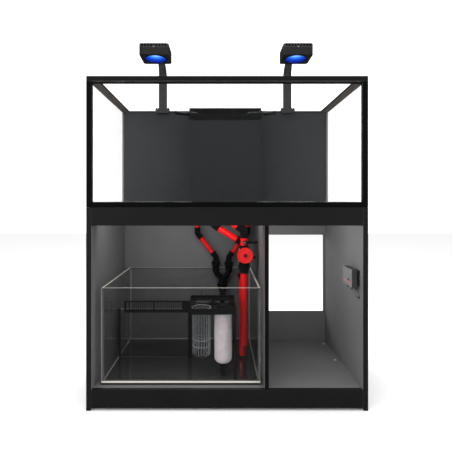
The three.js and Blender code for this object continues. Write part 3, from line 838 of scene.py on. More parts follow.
class Rules:
    """The trees that the sub-assemblies share."""

    def __init__(self) -> None:
        """Builds each tree once."""
        self.build_row()
        self.build_ring()
        self.build_screws()
        self.build_pipe()
        self.build_diodes()

    def build_row(self) -> None:
        """Bars in a straight row: slats, fins and teeth."""
        rule = self.row = Rule(
            "bars_in_a_row",
            {"Count": INT, "Start": VECTOR, "Pitch": VECTOR, "Size": VECTOR},
        )
        line = add_node(
            rule.tree, "GeometryNodeMeshLine", {"mode": "OFFSET"},
            {"Count": rule["Count"], "Start Location": rule["Start"], "Offset": rule["Pitch"]},
        )
        bar = add_node(rule.tree, "GeometryNodeMeshCube", {}, {"Size": rule["Size"]})
        placed = add_node(
            rule.tree, "GeometryNodeInstanceOnPoints", {},
            {"Points": line.outputs[0], "Instance": bar.outputs[0]}
        )
        rule.end(placed.outputs[0])

    def build_ring(self) -> None:
        """Bars round a circle: grip ribs on nuts, and flutes on a cup."""
        rule = self.ring = Rule(
            "bars_round_a_circle",
            {
                "Count": INT, "Radius": REAL, "Size": VECTOR,
                "Centre": VECTOR, "Turn": VECTOR,
            },
        )
        circle = add_node(
            rule.tree, "GeometryNodeMeshCircle", {}, {"Vertices": rule["Count"], "Radius": rule["Radius"]}
        )
        where = add_node(rule.tree, "GeometryNodeInputPosition")
        facing = add_node(
            rule.tree, "FunctionNodeAlignRotationToVector", {"axis": "X", "pivot_axis": "Z"},
            {"Vector": where.outputs[0]}
        )
        bar = add_node(rule.tree, "GeometryNodeMeshCube", {}, {"Size": rule["Size"]})
        placed = add_node(
            rule.tree, "GeometryNodeInstanceOnPoints", {},
            {"Points": circle.outputs[0], "Instance": bar.outputs[0], "Rotation": facing.outputs[0]},
        )
        moved = add_node(
            rule.tree, "GeometryNodeTransform", {},
            {"Geometry": placed.outputs[0], "Translation": rule["Centre"], "Rotation": rule["Turn"]},
        )
        rule.end(moved.outputs[0])

    def build_screws(self) -> None:
        """Socket-head screws in a straight row."""
        rule = self.screws = Rule(
            "socket_screws",
            {
                "Count": INT, "Start": VECTOR, "Pitch": VECTOR,
                "Radius": REAL, "Height": REAL, "Turn": VECTOR,
            },
        )
        line = add_node(
            rule.tree, "GeometryNodeMeshLine", {"mode": "OFFSET"},
            {"Count": rule["Count"], "Start Location": rule["Start"], "Offset": rule["Pitch"]},
        )
        head = add_node(
            rule.tree, "GeometryNodeMeshCylinder", {"Vertices": 20},
            {"Radius": rule["Radius"], "Depth": rule["Height"]},
        )
        half = add_node(rule.tree, "ShaderNodeMath", {"operation": "MULTIPLY", 1: 0.5}, {0: rule["Radius"]})
        key = add_node(
            rule.tree, "GeometryNodeMeshCylinder", {"Vertices": 6},
            {"Radius": half.outputs[0], "Depth": rule["Height"]}
        )
        part = add_node(rule.tree, "ShaderNodeMath", {"operation": "MULTIPLY", 1: 0.45}, {0: rule["Height"]})
        up = add_node(rule.tree, "ShaderNodeCombineXYZ", {}, {"Z": part.outputs[0]})
        raised = add_node(
            rule.tree, "GeometryNodeTransform", {}, {"Geometry": key.outputs[0], "Translation": up.outputs[0]}
        )
        drilled = add_node(
            rule.tree, "GeometryNodeMeshBoolean", {"operation": "DIFFERENCE"},
            {"Mesh 1": head.outputs[0], "Mesh 2": raised.outputs[0]},
        )
        placed = add_node(
            rule.tree, "GeometryNodeInstanceOnPoints", {},
            {"Points": line.outputs[0], "Instance": drilled.outputs[0], "Rotation": rule["Turn"]},
        )
        rule.end(placed.outputs[0])

    def build_pipe(self) -> None:
        """A pipe along a route, with round bends."""
        rule = self.pipe = Rule("pipe_along_a_route", {"Radius": REAL, "Bend": REAL})
        curve = add_node(rule.tree, "GeometryNodeMeshToCurve", {}, {0: rule["Geometry"]})
        bent = add_node(
            rule.tree, "GeometryNodeFilletCurve", {"mode": "POLY", "Count": 8},
            {"Curve": curve.outputs[0], "Radius": rule["Bend"]},
        )
        section = add_node(
            rule.tree, "GeometryNodeCurvePrimitiveCircle", {"mode": "RADIUS", "Resolution": 32},
            {"Radius": rule["Radius"]},
        )
        swept = add_node(
            rule.tree, "GeometryNodeCurveToMesh", {"Fill Caps": True},
            {"Curve": bent.outputs[0], "Profile Curve": section.outputs[0]},
        )
        rule.end(swept.outputs[0])

    def build_diodes(self) -> None:
        """A round cluster of diode lenses on a grid."""
        rule = self.diodes = Rule(
            "diode_cluster",
            {"Reach": REAL, "Lens": REAL, "Centre": VECTOR, "Rows": INT},
        )
        width = add_node(rule.tree, "ShaderNodeMath", {"operation": "MULTIPLY", 1: 2.0}, {0: rule["Reach"]})
        grid = add_node(
            rule.tree, "GeometryNodeMeshGrid", {},
            {
                "Size X": width.outputs[0], "Size Y": width.outputs[0],
                "Vertices X": rule["Rows"], "Vertices Y": rule["Rows"],
            },
        )
        where = add_node(rule.tree, "GeometryNodeInputPosition")
        far = add_node(rule.tree, "ShaderNodeVectorMath", {"operation": "LENGTH"}, {0: where.outputs[0]})
        outside = add_node(
            rule.tree, "FunctionNodeCompare", {"operation": "GREATER_THAN"},
            {0: far.outputs["Value"], 1: rule["Reach"]},
        )
        kept = add_node(
            rule.tree, "GeometryNodeDeleteGeometry", {"domain": "POINT"},
            {"Geometry": grid.outputs[0], "Selection": outside.outputs[0]},
        )
        lens = add_node(
            rule.tree, "GeometryNodeMeshIcoSphere", {"Subdivisions": 2}, {"Radius": rule["Lens"]}
        )
        placed = add_node(
            rule.tree, "GeometryNodeInstanceOnPoints", {},
            {"Points": kept.outputs[0], "Instance": lens.outputs[0]}
        )
        moved = add_node(
            rule.tree, "GeometryNodeTransform", {},
            {"Geometry": placed.outputs[0], "Translation": rule["Centre"]}
        )
        rule.end(moved.outputs[0])


# ---- sub-assemblies


@dataclass
class SubAssembly(ABC):
    """A group of pieces that are built together."""

    rules: Rules

    @abstractmethod
    def build(self) -> None:
        """Makes the group's pieces."""

    def keep(
        self, piece: Object, slot: Slot, body: str = "stand", stands_for: Sequence[str] = ()
    ) -> Object:
        """Ties a finished piece to the frame.

        Args:
            piece: The piece.
            slot: The record's material slot; it is not used.
            body: The body that it moves with.
            stands_for: The frame nodes that it replaces.

        Returns:
            The piece.
        """
        if stands_for:
            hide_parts(*stands_for)
        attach(piece, body)
        log.info("%s rides on %s", piece.name, body)
        return piece

    def grip(
        self, name: str, count: int, radius: float, size: Point, centre: Point, axis: Vector | Axis,
        finish: Finish
    ) -> Object:
        """Makes ribs round a nut or a knob.

        Args:
            name: The piece's name.
            count: How many ribs.
            radius: Where their middles are.
            size: A rib's size outwards, round and along the axis.
            centre: The middle of the ring.
            axis: The ring's axis.
            finish: The ribs' finish.

        Returns:
            The piece.
        """
        direction = axis.vector if isinstance(axis, Axis) else Vector(axis).normalized()
        turn = direction.to_track_quat("Z", "Y").to_euler()
        values = {
            "Count": count, "Radius": radius * MM, "Size": Vector(size) * MM,
            "Centre": metres(centre), "Turn": Vector(turn),
        }
        return self.rules.ring.make(name, finish, values, bevel=min(size) * 0.3)

    def bars(
        self, name: str, count: int, first: Point, pitch: Point, size: Point, finish: Finish,
        bevel: float = 0.4
    ) -> Object:
        """Makes bars in a row.

        Args:
            name: The piece's name.
            count: How many bars.
            first: The middle of the first.
            pitch: From one bar to the next.
            size: A bar's size.
            finish: The bars' finish.
            bevel: The radius of their edges.

        Returns:
            The piece.
        """
        values = {
            "Count": count, "Start": metres(first), "Pitch": Vector(pitch) * MM, "Size": Vector(size) * MM
        }
        return self.rules.row.make(name, finish, values, bevel=bevel)

    def screws(
        self, name: str, count: int, first: Point, pitch: Point, radius: float, turn: Point, finish: Finish
    ) -> Object:
        """Makes socket screws in a row.

        Args:
            name: The piece's name.
            count: How many screws.
            first: The middle of the first head.
            pitch: From one screw to the next.
            radius: A head's radius.
            turn: How far a head is turned about x, y and z, in degrees, from facing up.
            finish: The screws' finish.

        Returns:
            The piece.
        """
        values = {
            "Count": count, "Start": metres(first), "Pitch": Vector(pitch) * MM, "Radius": radius * MM,
            "Height": radius * 0.5 * MM, "Turn": Vector([math.radians(t) for t in turn]),
        }
        return self.rules.screws.make(name, finish, values, bevel=radius * 0.07)


def sort_faces(piece: Object, thin: Axis) -> Object:
    """Gives a pane's polished edges its second finish, and its bonded ones its third.

    Args:
        piece: The pane, with glass, polished and bonded finishes.
        thin: The axis across its thickness.

    Returns:
        The pane.
    """
    for face in piece.data.polygons:
        normal = face.normal
        bonded = normal.z < -0.5 or (thin is Axis.RIGHT and abs(normal.y) > 0.5)
        face.material_index = 0 if abs(normal.dot(thin.vector)) > 0.9 else 2 if bonded else 1
    return piece


@dataclass
class Cabinet(SubAssembly):
    """The open-fronted cabinet of melamine board."""

    cap_x: float = 553.0  # cover caps on the right bay's floor
    cap_depths: tuple[float, ...] = (298.0, 509.0)
    floor_top: float = 89.3
    back: float = 575.0
    edge: float = 0.7

    def build(self) -> None:
        """Makes the boards, their cover caps and the back panel's screws."""
        boards: dict[str, Callable[[Vector], int]] = {
            "side_panel_left": lambda n: 1 if n.x > 0.5 else 0,
            "side_panel_right": lambda n: 1 if n.x < -0.5 else 0,
            "plinth": lambda n: 0,
            "front_fascia": lambda n: 1 if n.y > 0.5 else 0,
            "floor_board": lambda n: 1 if n.z > 0.5 else 0,
            "top_board": lambda n: 1 if n.z < -0.5 else 0,
            "divider_panel": lambda n: 1 if abs(n.x) > 0.5 else 2,
            "back_panel": lambda n: 1 if n.y < -0.5 else 0 if n.y > 0.5 else 2,
        }
        for node, choose in boards.items():
            finishes = (Finishes.BLACK_BOARD, Finishes.GREY_BOARD, Finishes.EDGE_BAND)
            self.keep(eased(node, self.edge, finishes, choose), Slot.LAMINATE)
        caps = Solid()
        for depth in self.cap_depths:
            caps.turned(
                [(0, 0), (6, 0), (6, 0.8), (5, 1.5), (0, 1.9)], (self.cap_x, depth, self.floor_top),
                segments=24,
            )
        self.keep(caps.piece("cover_caps", Finishes.WHITE_CAP), Slot.LAMINATE)
        self.build_screws()

    def build_screws(self) -> None:
        """Screws the back panel on."""
        out = (-90, 0, 0)
        rows = {
            "back_screws_low": (9, (-560, self.back, 80), (140, 0, 0)),
            "back_screws_top": (9, (-560, self.back, 838), (140, 0, 0)),
            "back_screws_left": (4, (-569, self.back, 200), (0, 0, 150)),
            "back_screws_divider": (4, (169, self.back, 200), (0, 0, 150)),
        }
        for name, (count, first, pitch) in rows.items():
            self.keep(self.screws(name, count, first, pitch, 3.5, out, Finishes.SCREW), Slot.METAL)


@dataclass
class Tank(SubAssembly):
    """The glass tank with its black trim and grey background."""

    half: float = 588.5  # to a side pane's inner face
    front: float = 11.5
    back: float = 556.0
    floor: float = 880.0
    top: float = 1402.0
    bead: float = 7.0

    def build(self) -> None:
        """Makes the trim, the panes, the background and the silicone beads."""
        self.keep(eased("tank_bottom_frame", 0.9, [Finishes.TRIM]), Slot.TRIM)
        # Painted light: the frame's downward faces get a lighter brown-grey than its black, standing in for
        # light on the underside.
        finishes = [Finishes.RIM, Finishes.UNDERSIDE]
        self.keep(eased("tank_top_frame", 1.0, finishes, lambda n: 1 if n.z < -0.5 else 0), Slot.TRIM)
        for pane in ("bottom", "front", "left", "right", "rear"):
            self.keep(eased(f"tank_{pane}_pane", 0.5, [Finishes.GLASS], smooth=10), Slot.GLASS)
        self.keep(eased("background_panel", 0.4, [Finishes.BACKGROUND]), Slot.PANEL)
        self.build_beads()

    def build_beads(self) -> None:
        """Seals the front brace, and runs silicone down the rear corners and round the floor."""
        seal = Solid().block((-598, 598), (12, 43.6), (1402.75, 1403.3))
        self.keep(seal.piece("front_brace_seal", Finishes.SEALANT), Slot.TRIM)
        corners = Solid()
        for side in Side:
            x = side.value * self.half
            inward = x - side.value * self.bead
            mid = x - side.value * self.bead * 0.3
            outline = [
                (x, self.back), (inward, self.back), (mid, self.back - self.bead * 0.3),
                (x, self.back - self.bead),
            ]
            corners.prism(outline, Axis.UP, self.floor + 10, self.top)
        self.keep(corners.piece("rear_corner_silicone", Finishes.CLEAR_SEALANT), Slot.GLASS)
        floor = Solid()
        for depth, way in ((self.front, 1), (self.back, -1)):
            outline = [
                (depth, self.floor), (depth + way * self.bead, self.floor), (depth, self.floor + self.bead)
            ]
            floor.prism(outline, Axis.RIGHT, -self.half + 13, self.half - 13, 0.4)
        for side in Side:
            x = side.value * self.half
            outline = [(x, self.floor), (x - side.value * self.bead, self.floor), (x, self.floor + self.bead)]
            floor.prism(outline, Axis.BACK, 24, self.back - 8, 0.4)
        self.keep(floor.piece("floor_silicone", Finishes.SEALANT), Slot.TRIM)


@dataclass
class Weir(SubAssembly):
    """The overflow box with its slotted comb and its two return nozzles."""

    half: float = 199.0
    comb: Span = (466.7, 470.7)  # front and back of the comb
    low: float = 1344.0
    slots: Span = (1373.0, 1396.0)
    top: float = 1406.0
    pitch: float = 12.5
    tooth: float = 6.0
    outer_start: float = 193.0
    inner_start: float = 34.5
    riser: float = 510.0
    outlet: float = 1381.0
    upstand_depth: Span = (551.4, 555.6)
    upstand_z: Span = (1380.0, 1423.5)

    def build(self) -> None:
        """Makes the box, the black strip that stands at its back, the comb and the nozzles."""
        self.keep(eased("weir_box", 0.7, [Finishes.WEIR]), Slot.PANEL)
        upstand = Solid().block((0.4 - self.half, self.half - 0.4), self.upstand_depth, self.upstand_z, 0.8)
        self.keep(upstand.piece("overflow_upstand", Finishes.TRIM), Slot.BLACK)
        self.build_comb()
        for side in Side:
            self.build_nozzle(side)

    def build_comb(self) -> None:
        """Makes the comb: rails, dividers and rows of teeth."""
        front, back = self.comb
        low, high = self.slots
        group = 10 * self.pitch + self.pitch - self.tooth
        frame = Solid()
        frame.block((-self.half, self.half), self.comb, (self.low, low + 0.3), 0.6)
        frame.block((-self.half, self.half), self.comb, (high - 0.3, self.top), 0.8)
        for side in Side:
            s = side.value
            end = sorted((s * self.half, s * self.outer_start))
            divider = sorted((s * (self.outer_start - group), s * self.inner_start))
            frame.block(end, self.comb, (low, high), 0.3)
            frame.block(divider, self.comb, (low, high), 0.3)
            frame.block(sorted((s * 49, s * 47)), (front - 1.2, back), (self.low + 1, self.top - 1), 0.4)
        self.keep(frame.piece("comb_frame", Finishes.BLACK_ABS), Slot.BLACK, "weir_comb", ["weir_comb"])
        size = (self.tooth, back - front - 0.4, high - low + 1)
        middle = ((front + back) / 2, (low + high) / 2)
        first = self.pitch - self.tooth / 2
        starts = {
            "left": (-self.outer_start, 10), "middle": (-self.inner_start, 5),
            "right": (self.outer_start - group, 10),
        }
        for word, (start, count) in starts.items():
            teeth = self.bars(
                f"comb_teeth_{word}", count, (start + first, *middle), (self.pitch, 0, 0), size,
                Finishes.BLACK_ABS, 0.5
            )
            self.keep(teeth, Slot.BLACK, "weir_comb")

    def build_nozzle(self, side: Side) -> None:
        """Makes one nozzle: a ribbed swivel nut, a ball and a flared spout."""
        s = side.value
        base = (s * (self.half + 4), self.riser, self.outlet)
        aim = Vector((s, -0.2, 0.09)).normalized()
        body = Solid()
        body.turned(
            [
                (0, 0), (12.6, 0), (13.2, 0.8), (13.2, 10), (12.2, 11), (10.2, 11.4), (9.2, 13), (10.6, 16),
                (10.9, 19), (10.4, 22), (10.3, 26), (10.1, 50), (10.2, 60), (10.6, 70), (11.3, 77),
                (11.4, 79.4), (10.8, 80.2), (10.0, 80.0), (9.0, 72), (7.4, 58), (7.2, 44), (0, 44),
            ],
            base, aim, 40,
        )
        name = f"nozzle_{side.word}"
        self.keep(
            body.piece(f"{name}_spout", Finishes.FITTING), Slot.BLACK, name, [f"return_nozzle_{side.word}"]
        )
        middle = Vector(base) + aim * 5.5
        ribs = self.grip(f"{name}_ribs", 18, 13.2, (1.4, 1.6, 8.6), middle, aim, Finishes.FITTING)
        self.keep(ribs, Slot.BLACK, name)


@dataclass
class Lamp(SubAssembly):
    """One lamp with its arm, its bracket and its clamp knob."""

    side: Side = Side.LEFT
    reach: float = 358.0
    half: float = 73.5
    front: float = 255.0
    back: float = 386.0
    bottom: float = 1618.0
    split: float = 1656.0
    top: float = 1674.5
    corner: float = 9.0
    aperture: float = 53.5
    fin_pitch: float = 14.5
    fin: float = 6.5
    end_wall: float = 62.2  # from the lamp's middle to an end wall's inner face
    arm_height: float = 1682.0
    clamp_z: float = 1372.0
    bend_radius: float = 95.0
    bend_centre: Span = (462.0, 1582.0)  # depth and height

    @property
    def x(self) -> float:
        """The lamp's middle."""
        return self.side.value * self.reach

    @property
    def middle(self) -> float:
        """The depth of the head's middle."""
        return (self.front + self.back) / 2

    @property
    def body(self) -> str:
        """The frame body of the lamp's head."""
        return f"lamp_{self.side.word}"

    def outline(self, inset: float = 0.0) -> Outline:
        """The head's plan: a rectangle with cut corners, drawn in by inset."""
        k = self.corner
        return self.cut_corners((self.x - self.half + inset, self.x + self.half - inset), k, k, inset)

    def cut_corners(self, x: Point, left: float, right: float, inset: float = 0.0) -> Outline:
        """A rectangle as deep as the head, with its corners cut off.

        Args:
            x: Its left and right sides.
            left: How much is cut off its left corners.
            right: How much is cut off its right ones.
            inset: How far its front and back are drawn in.

        Returns:
            The outline's points.
        """
        (a, b), c, d = x, self.front + inset, self.back - inset
        near = [(a + left, c), (b - right, c), (b, c + right)]
        far = [(b, d - right), (b - right, d), (a + left, d), (a, d - left), (a, c + left)]
        return list(dict.fromkeys(near + far))

    def build(self) -> None:
        """Makes every piece of the lamp."""
        self.build_head()
        self.build_heat_sink()
        self.build_dish()
        self.build_arm()
        self.build_clamp()

    def build_head(self) -> None:
        """Makes the housing, the trim ring round its aperture, its screws and its button."""
        word, middle = self.side.word, self.middle
        self.keep(eased(f"lamp_housing_{word}", 1.1, [Finishes.LAMP_SHELL]), Slot.BLACK, self.body)
        r, z = self.aperture, self.bottom
        ring = Solid().turned(
            [
                (r - 0.6, z + 2), (r - 0.6, z - 0.2), (r, z - 0.9), (r + 2.2, z - 0.9), (r + 3.0, z - 0.2),
                (r + 3.0, z + 0.5),
            ],
            (self.x, middle, 0), segments=64, closed=True,
        )
        self.keep(ring.piece(f"aperture_ring_{word}", Finishes.TRIM), Slot.BLACK, self.body)
        screws = self.screws(
            f"lamp_screws_{word}", 2, (self.x - 63, 322, z - 0.3), (126, 0, 0), 3.6, (180, 0, 0), Finishes.SCREW
        )
        self.keep(screws, Slot.METAL, self.body)
        button = Solid().turned(
            [(0, -3), (4.3, -3), (4.3, 0.6), (3.9, 1.2), (2.6, 1.5), (0, 1.5)],
            (self.x, self.front, self.split + 1), Axis.FRONT, 28,
        )
        piece = button.piece(f"lamp_button_cap_{word}", Finishes.GREY_ABS)
        self.keep(piece, Slot.GREY, f"lamp_button_{word}", [f"lamp_button_{word}"])

    def build_heat_sink(self) -> None:
        """Makes the heat sink: two plates, end walls, fins, and the stud with its nut."""
        word, middle = self.side.word, self.middle
        low, high = self.split, self.top
        plates = Solid()
        plates.prism(self.outline(), Axis.UP, high - 3, high, 0.8)
        plates.prism(self.outline(1.2), Axis.UP, low, low + 3.2, 0.5)
        for s in (-1, 1):
            end = sorted((self.x + s * self.half, self.x + s * self.end_wall))
            cuts = (self.corner, 0) if s < 0 else (0, self.corner)
            plates.prism(self.cut_corners(end, *cuts), Axis.UP, low + 0.2, high - 0.4, 0.5)
        plates.rod((self.x, middle, high - 1), (self.x, middle, self.arm_height - 5.2), 12, 0.5)
        self.keep(
            plates.piece(f"heat_sink_plates_{word}", Finishes.METAL), Slot.METAL, self.body,
            [f"heat_sink_{word}"],
        )
        first = (self.x - 3.5 * self.fin_pitch, middle, (low + high) / 2)
        size = (self.fin, self.back - self.front - 5, high - low - 1)
        fins = self.bars(f"heat_sink_fins_{word}", 8, first, (self.fin_pitch, 0, 0), size, Finishes.METAL)
        self.keep(fins, Slot.METAL, self.body)
        stud = Solid()
        threads = [(0, high - 2)]
        steps = 16
        for i in range(steps):
            z = high - 2 + i * (1695.4 - high + 2) / steps
            threads += [(3.5, z), (4.0, z + 0.6)]
        stud.turned([*threads, (3.2, 1695.8), (0, 1696)], (self.x, middle, 0), segments=24)
        nut = self.arm_height + 5.3
        stud.turned(
            [(0, nut), (9, nut), (9, nut + 5.6), (7.6, nut + 6.6), (0, nut + 6.6)], (self.x, middle, 0),
            segments=6,
        )
        stud.turned(
            [(0, nut), (11, nut), (11, nut + 1.1), (10.6, nut + 1.4), (0, nut + 1.4)], (self.x, middle, 0),
            segments=32,
        )
        self.keep(stud.piece(f"lamp_stud_{word}", Finishes.SCREW), Slot.METAL, self.body)

    def build_dish(self) -> None:
        """Makes the lit reflector dish and the cluster of diodes at its apex."""
        word, middle = self.side.word, self.middle
        arc = [i * math.pi / 2 / 14 for i in range(15)]
        z = self.bottom + 0.6
        inner = [((self.aperture - 3.2) * math.cos(a), z + 27 * math.sin(a)) for a in arc]
        outer = [((self.aperture - 0.8) * math.cos(a), z + 30 * math.sin(a)) for a in reversed(arc)]
        inner[-1], outer[0] = (0.0, z + 27), (0.0, z + 30)
        dish = Solid().turned([*reversed(inner), *reversed(outer)], (self.x, middle, 0), segments=64)
        # the dish's glow is painted light: emission that stands for the diodes' light on the reflector
        lit = LitDish(f"lit_reflector_{word}", "#0c1a60", 0.2, (self.x, middle, z + 25), 57.0, 1.0)
        piece = dish.piece(f"reflector_dish_{word}", lit)
        self.keep(piece, Slot.BLUE, self.body, [f"reflector_{word}"])
        for name, reach, rows, size, drop, finish in (
            ("inner", 9.0, 5, 1.9, 23.5, Finishes.LENS), ("outer", 19.0, 6, 2.1, 22.5, Finishes.BLUE_LENS),
        ):
            values = {
                "Reach": reach * MM, "Lens": size * MM, "Rows": rows,
                "Centre": metres((self.x, middle, z + drop)),
            }
            cluster = self.rules.diodes.make(f"diodes_{name}_{word}", finish, values)
            self.keep(cluster, Slot.BLUE, self.body)

    def build_arm(self) -> None:
        """Makes the bent arm, with the screws in its bend."""
        word = self.side.word
        self.keep(eased(f"lamp_arm_{word}", 1.2, [Finishes.METAL], segments=3), Slot.METAL)
        for turn in (29, 40):
            a = math.radians(turn)
            depth = self.bend_centre[0] + (self.bend_radius - 0.4) * math.cos(a)
            z = self.bend_centre[1] + (self.bend_radius - 0.4) * math.sin(a)
            name = f"arm_screws_{turn}_{word}"
            row = self.screws(
                name, 2, (self.x - 11.7, depth, z), (23.4, 0, 0), 3.4, (90 + turn, 0, 0), Finishes.SCREW
            )
            self.keep(row, Slot.METAL)

    def build_clamp(self) -> None:
        """Makes the bracket with a thin black strip below it as its painted shadow, and the knob with its
        threaded spindle and pad.
        """
        word, x, z = self.side.word, self.x, self.clamp_z
        self.keep(eased(f"lamp_bracket_{word}", 1.0, [Finishes.METAL]), Slot.METAL)
        # Painted shadow: a thin black strip below the bracket, where its shadow falls on the rim.
        painted_shadow_strip = Solid().block((x - 30, x + 30), (542.4, 553.4), (1394.6, 1397.4), 0.9)
        self.keep(painted_shadow_strip.piece(f"bracket_lip_{word}", Finishes.SEALANT), Slot.BLACK)
        knob = Solid()
        lobed = []
        for i in range(60):
            a = 2 * math.pi * i / 60
            r = 15.4 + 2.4 * math.cos(5 * a)
            lobed.append((x + r * math.cos(a), z + r * math.sin(a)))
        knob.prism(lobed, Axis.BACK, 598, 611, 1.6, 3)
        knob.turned([(0, 611), (6, 611), (6, 611.4), (5, 611.9), (0, 611.9)], (x, 0, z), Axis.BACK, 32)
        knob.turned([(0, 595), (8.5, 595), (9.5, 598.5), (0, 598.5)], (x, 0, z), Axis.BACK, 32)
        self.keep(
            knob.piece(f"clamp_knob_grip_{word}", Finishes.BLACK_ABS), Slot.BLACK, f"clamp_{word}",
            [f"clamp_knob_{word}"],
        )
        threads = [(0.0, 576.0)]
        for i in range(12):
            threads += [(4.3, 577 + i * 1.6), (5.0, 577.8 + i * 1.6)]
        spindle = Solid().turned([*threads, (4.3, 597), (0, 597)], (x, 0, z), Axis.BACK, 24)
        self.keep(spindle.piece(f"clamp_spindle_{word}", Finishes.BRIGHT_SCREW), Slot.METAL, f"clamp_{word}")
        pad = Solid().turned(
            [(0, 573.8), (15, 573.8), (16, 574.8), (16, 577), (14, 579), (7, 579.4), (0, 579.4)], (x, 0, z),
            Axis.BACK, 40
        )
        self.keep(pad.piece(f"clamp_pad_{word}", Finishes.SEALANT), Slot.BLACK, f"clamp_{word}")


@dataclass
class Sump(SubAssembly):
    """The glass sump on its foam mat, with its baffle, comb, cup rack, sock and cup."""

    x: Span = (-549.0, 146.0)
    depth: Span = (44.0, 557.0)
    z: Span = (98.0, 512.5)
    glass: float = 8.0
    baffle_depth: Span = (296.0, 304.0)
    baffle_x: Span = (-540.7, -181.3)
    baffle_top: float = 349.0
    tray: float = 405.0
    cup_x: float = -114.0
    sock_x: float = -16.0
    rows: Span = (115.0, 234.0)

    @property
    def floor(self) -> float:
        """The top of the bottom pane."""
        return self.z[0] + self.glass

    def build(self) -> None:
        """Makes every piece of the sump."""
        self.keep(eased("sump_mat", 1.2, [Finishes.FOAM]), Slot.FOAM)
        self.build_panes()
        self.build_beads()
        self.build_baffle()
        self.build_comb()
        self.build_rack()
        self.build_cup()
        self.build_sock()

    def pane(
        self, name: str, x: Point, depth: Point, z: Point, thin: Axis, stands_for: Sequence[str] = ()
    ) -> Object:
        """Makes one pane with polished edges."""
        made = Solid().block(x, depth, z, 0.5).piece(
            name, Finishes.GLASS, Finishes.EDGE, Finishes.BONDED, smooth=10
        )
        return self.keep(sort_faces(made, thin), Slot.GLASS, stands_for=stands_for)

    def build_panes(self) -> None:
        """Makes the five panes of the vessel."""
        (x0, x1), (d0, d1), (z0, z1), t = self.x, self.depth, self.z, self.glass
        low, gap = z0 + t + 0.1, 0.1
        self.pane("sump_bottom", (x0, x1), (d0, d1), (z0, z0 + t), Axis.UP, ["sump_tank"])
        self.pane("sump_front", (x0, x1), (d0, d0 + t), (low, z1), Axis.BACK)
        self.pane("sump_back", (x0, x1), (d1 - t, d1), (low, z1), Axis.BACK)
        self.pane("sump_left", (x0, x0 + t), (d0 + t + gap, d1 - t - gap), (low, z1), Axis.RIGHT)
        self.pane("sump_right", (x1 - t, x1), (d0 + t + gap, d1 - t - gap), (low, z1), Axis.RIGHT)

    def build_beads(self) -> None:
        """Runs silicone down the corners and round the floor."""
        (x0, x1), (d0, d1), t, w = self.x, self.depth, self.glass, 3.5
        beads = Solid()
        for x, sx in ((x0 + t, 1), (x1 - t, -1)):
            for d, sd in ((d0 + t, 1), (d1 - t, -1)):
                beads.prism([(x, d), (x + sx * w, d), (x, d + sd * w)], Axis.UP, self.floor + w, self.z[1] - 2)
            beads.prism(
                [(x, self.floor), (x + sx * w, self.floor), (x, self.floor + w)], Axis.BACK, d0 + t, d1 - t
            )
        for d, sd in ((d0 + t, 1), (d1 - t, -1)):
            beads.prism(
                [(d, self.floor), (d + sd * w, self.floor), (d, self.floor + w)], Axis.RIGHT, x0 + t, x1 - t
            )
        self.keep(beads.piece("sump_silicone", Finishes.CLEAR_SEALANT), Slot.GLASS)

    def build_baffle(self) -> None:
        """Makes the baffle and the partition, with their black edge channels."""
        (x0, x1), depth, top = self.baffle_x, self.baffle_depth, self.baffle_top
        low = self.floor + 0.3
        self.pane(
            "baffle_pane", (x0 + 1, x1 - 1), (depth[0] + 0.4, depth[1] - 0.4), (low, top - 0.5), Axis.BACK,
            ["sump_baffle"],
        )
        self.pane("partition_pane", (33.4, 40.6), (56, 292), (low, 392.8), Axis.RIGHT, ["sump_partition"])
        channels = Solid()
        for a, b in ((x0, x0 + 10), (x1 - 10, x1)):
            channels.block((a, b), depth, (low, top), 0.8)
        for a, b in ((54, 62), (286, 294)):
            channels.block((33, 41), (a, b), (low, 393.2), 0.8)
        self.keep(channels.piece("edge_channels", Finishes.BLACK_ABS), Slot.BLACK)

    def build_comb(self) -> None:
        """Makes the strainer comb that stands on the baffle."""
        depth, low, high = (291.0, 295.7), 349.0, 384.0
        frame = Solid()
        frame.block((-512, -181.5), depth, (331.5, low + 0.3), 0.8)
        frame.block((-512, -181.5), depth, (high - 0.3, 391.3), 0.8)
        for a, b in ((-512, -501), (-489, -482), (-367, -358), (-221.4, -181.5)):
            frame.block((a, b), depth, (low, high), 0.4)
        for z in (340.0, 387.0):
            frame.prism(
                [(-188, z - 5), (-181.5, z - 5), (-181.5, z + 5), (-188, z + 5)], Axis.BACK, 286, 291.2, 1.0
            )
        self.keep(
            frame.piece("strainer_frame", Finishes.BLACK_ABS), Slot.BLACK, "strainer_comb", ["strainer_comb"]
        )
        for word, count, start in (("left", 10, -482.0), ("right", 12, -358.0)):
            first = (start + 7 + 1.9, sum(depth) / 2, (low + high) / 2)
            slats = self.bars(
                f"strainer_slats_{word}", count, first, (10.8, 0, 0), (3.8, 3.6, high - low + 1),
                Finishes.BLACK_ABS
            )
            self.keep(slats, Slot.BLACK, "strainer_comb")

    def build_rack(self) -> None:
        """Makes the cup rack, with collars round its free holes."""
        self.keep(eased("media_rack", 0.8, [Finishes.BLACK_ABS]), Slot.BLACK)
        collars = Solid()
        z = self.tray
        for x in (self.cup_x, self.sock_x):
            collars.turned(
                [
                    (42.2, z - 5), (42.2, z + 1.6), (42.8, z + 2.4), (44.6, z + 2.4), (45.4, z + 1.6),
                    (45.4, z - 0.2), (43.4, z - 0.2), (43.4, z - 5),
                ],
                (x, self.rows[1], 0), segments=56, closed=True,
            )
        self.keep(collars.piece("rack_collars", Finishes.GREY_RING), Slot.BLACK)
        latch = Solid()
        latch.block((-66.5, -63.5), (54.5, 293.5), (z - 0.5, z + 3.5), 0.8)
        latch.block((-158, 37), (172.5, 176.5), (z - 0.5, z + 3.5), 0.8)
        self.keep(latch.piece("rack_ribs", Finishes.BLACK_ABS), Slot.BLACK)

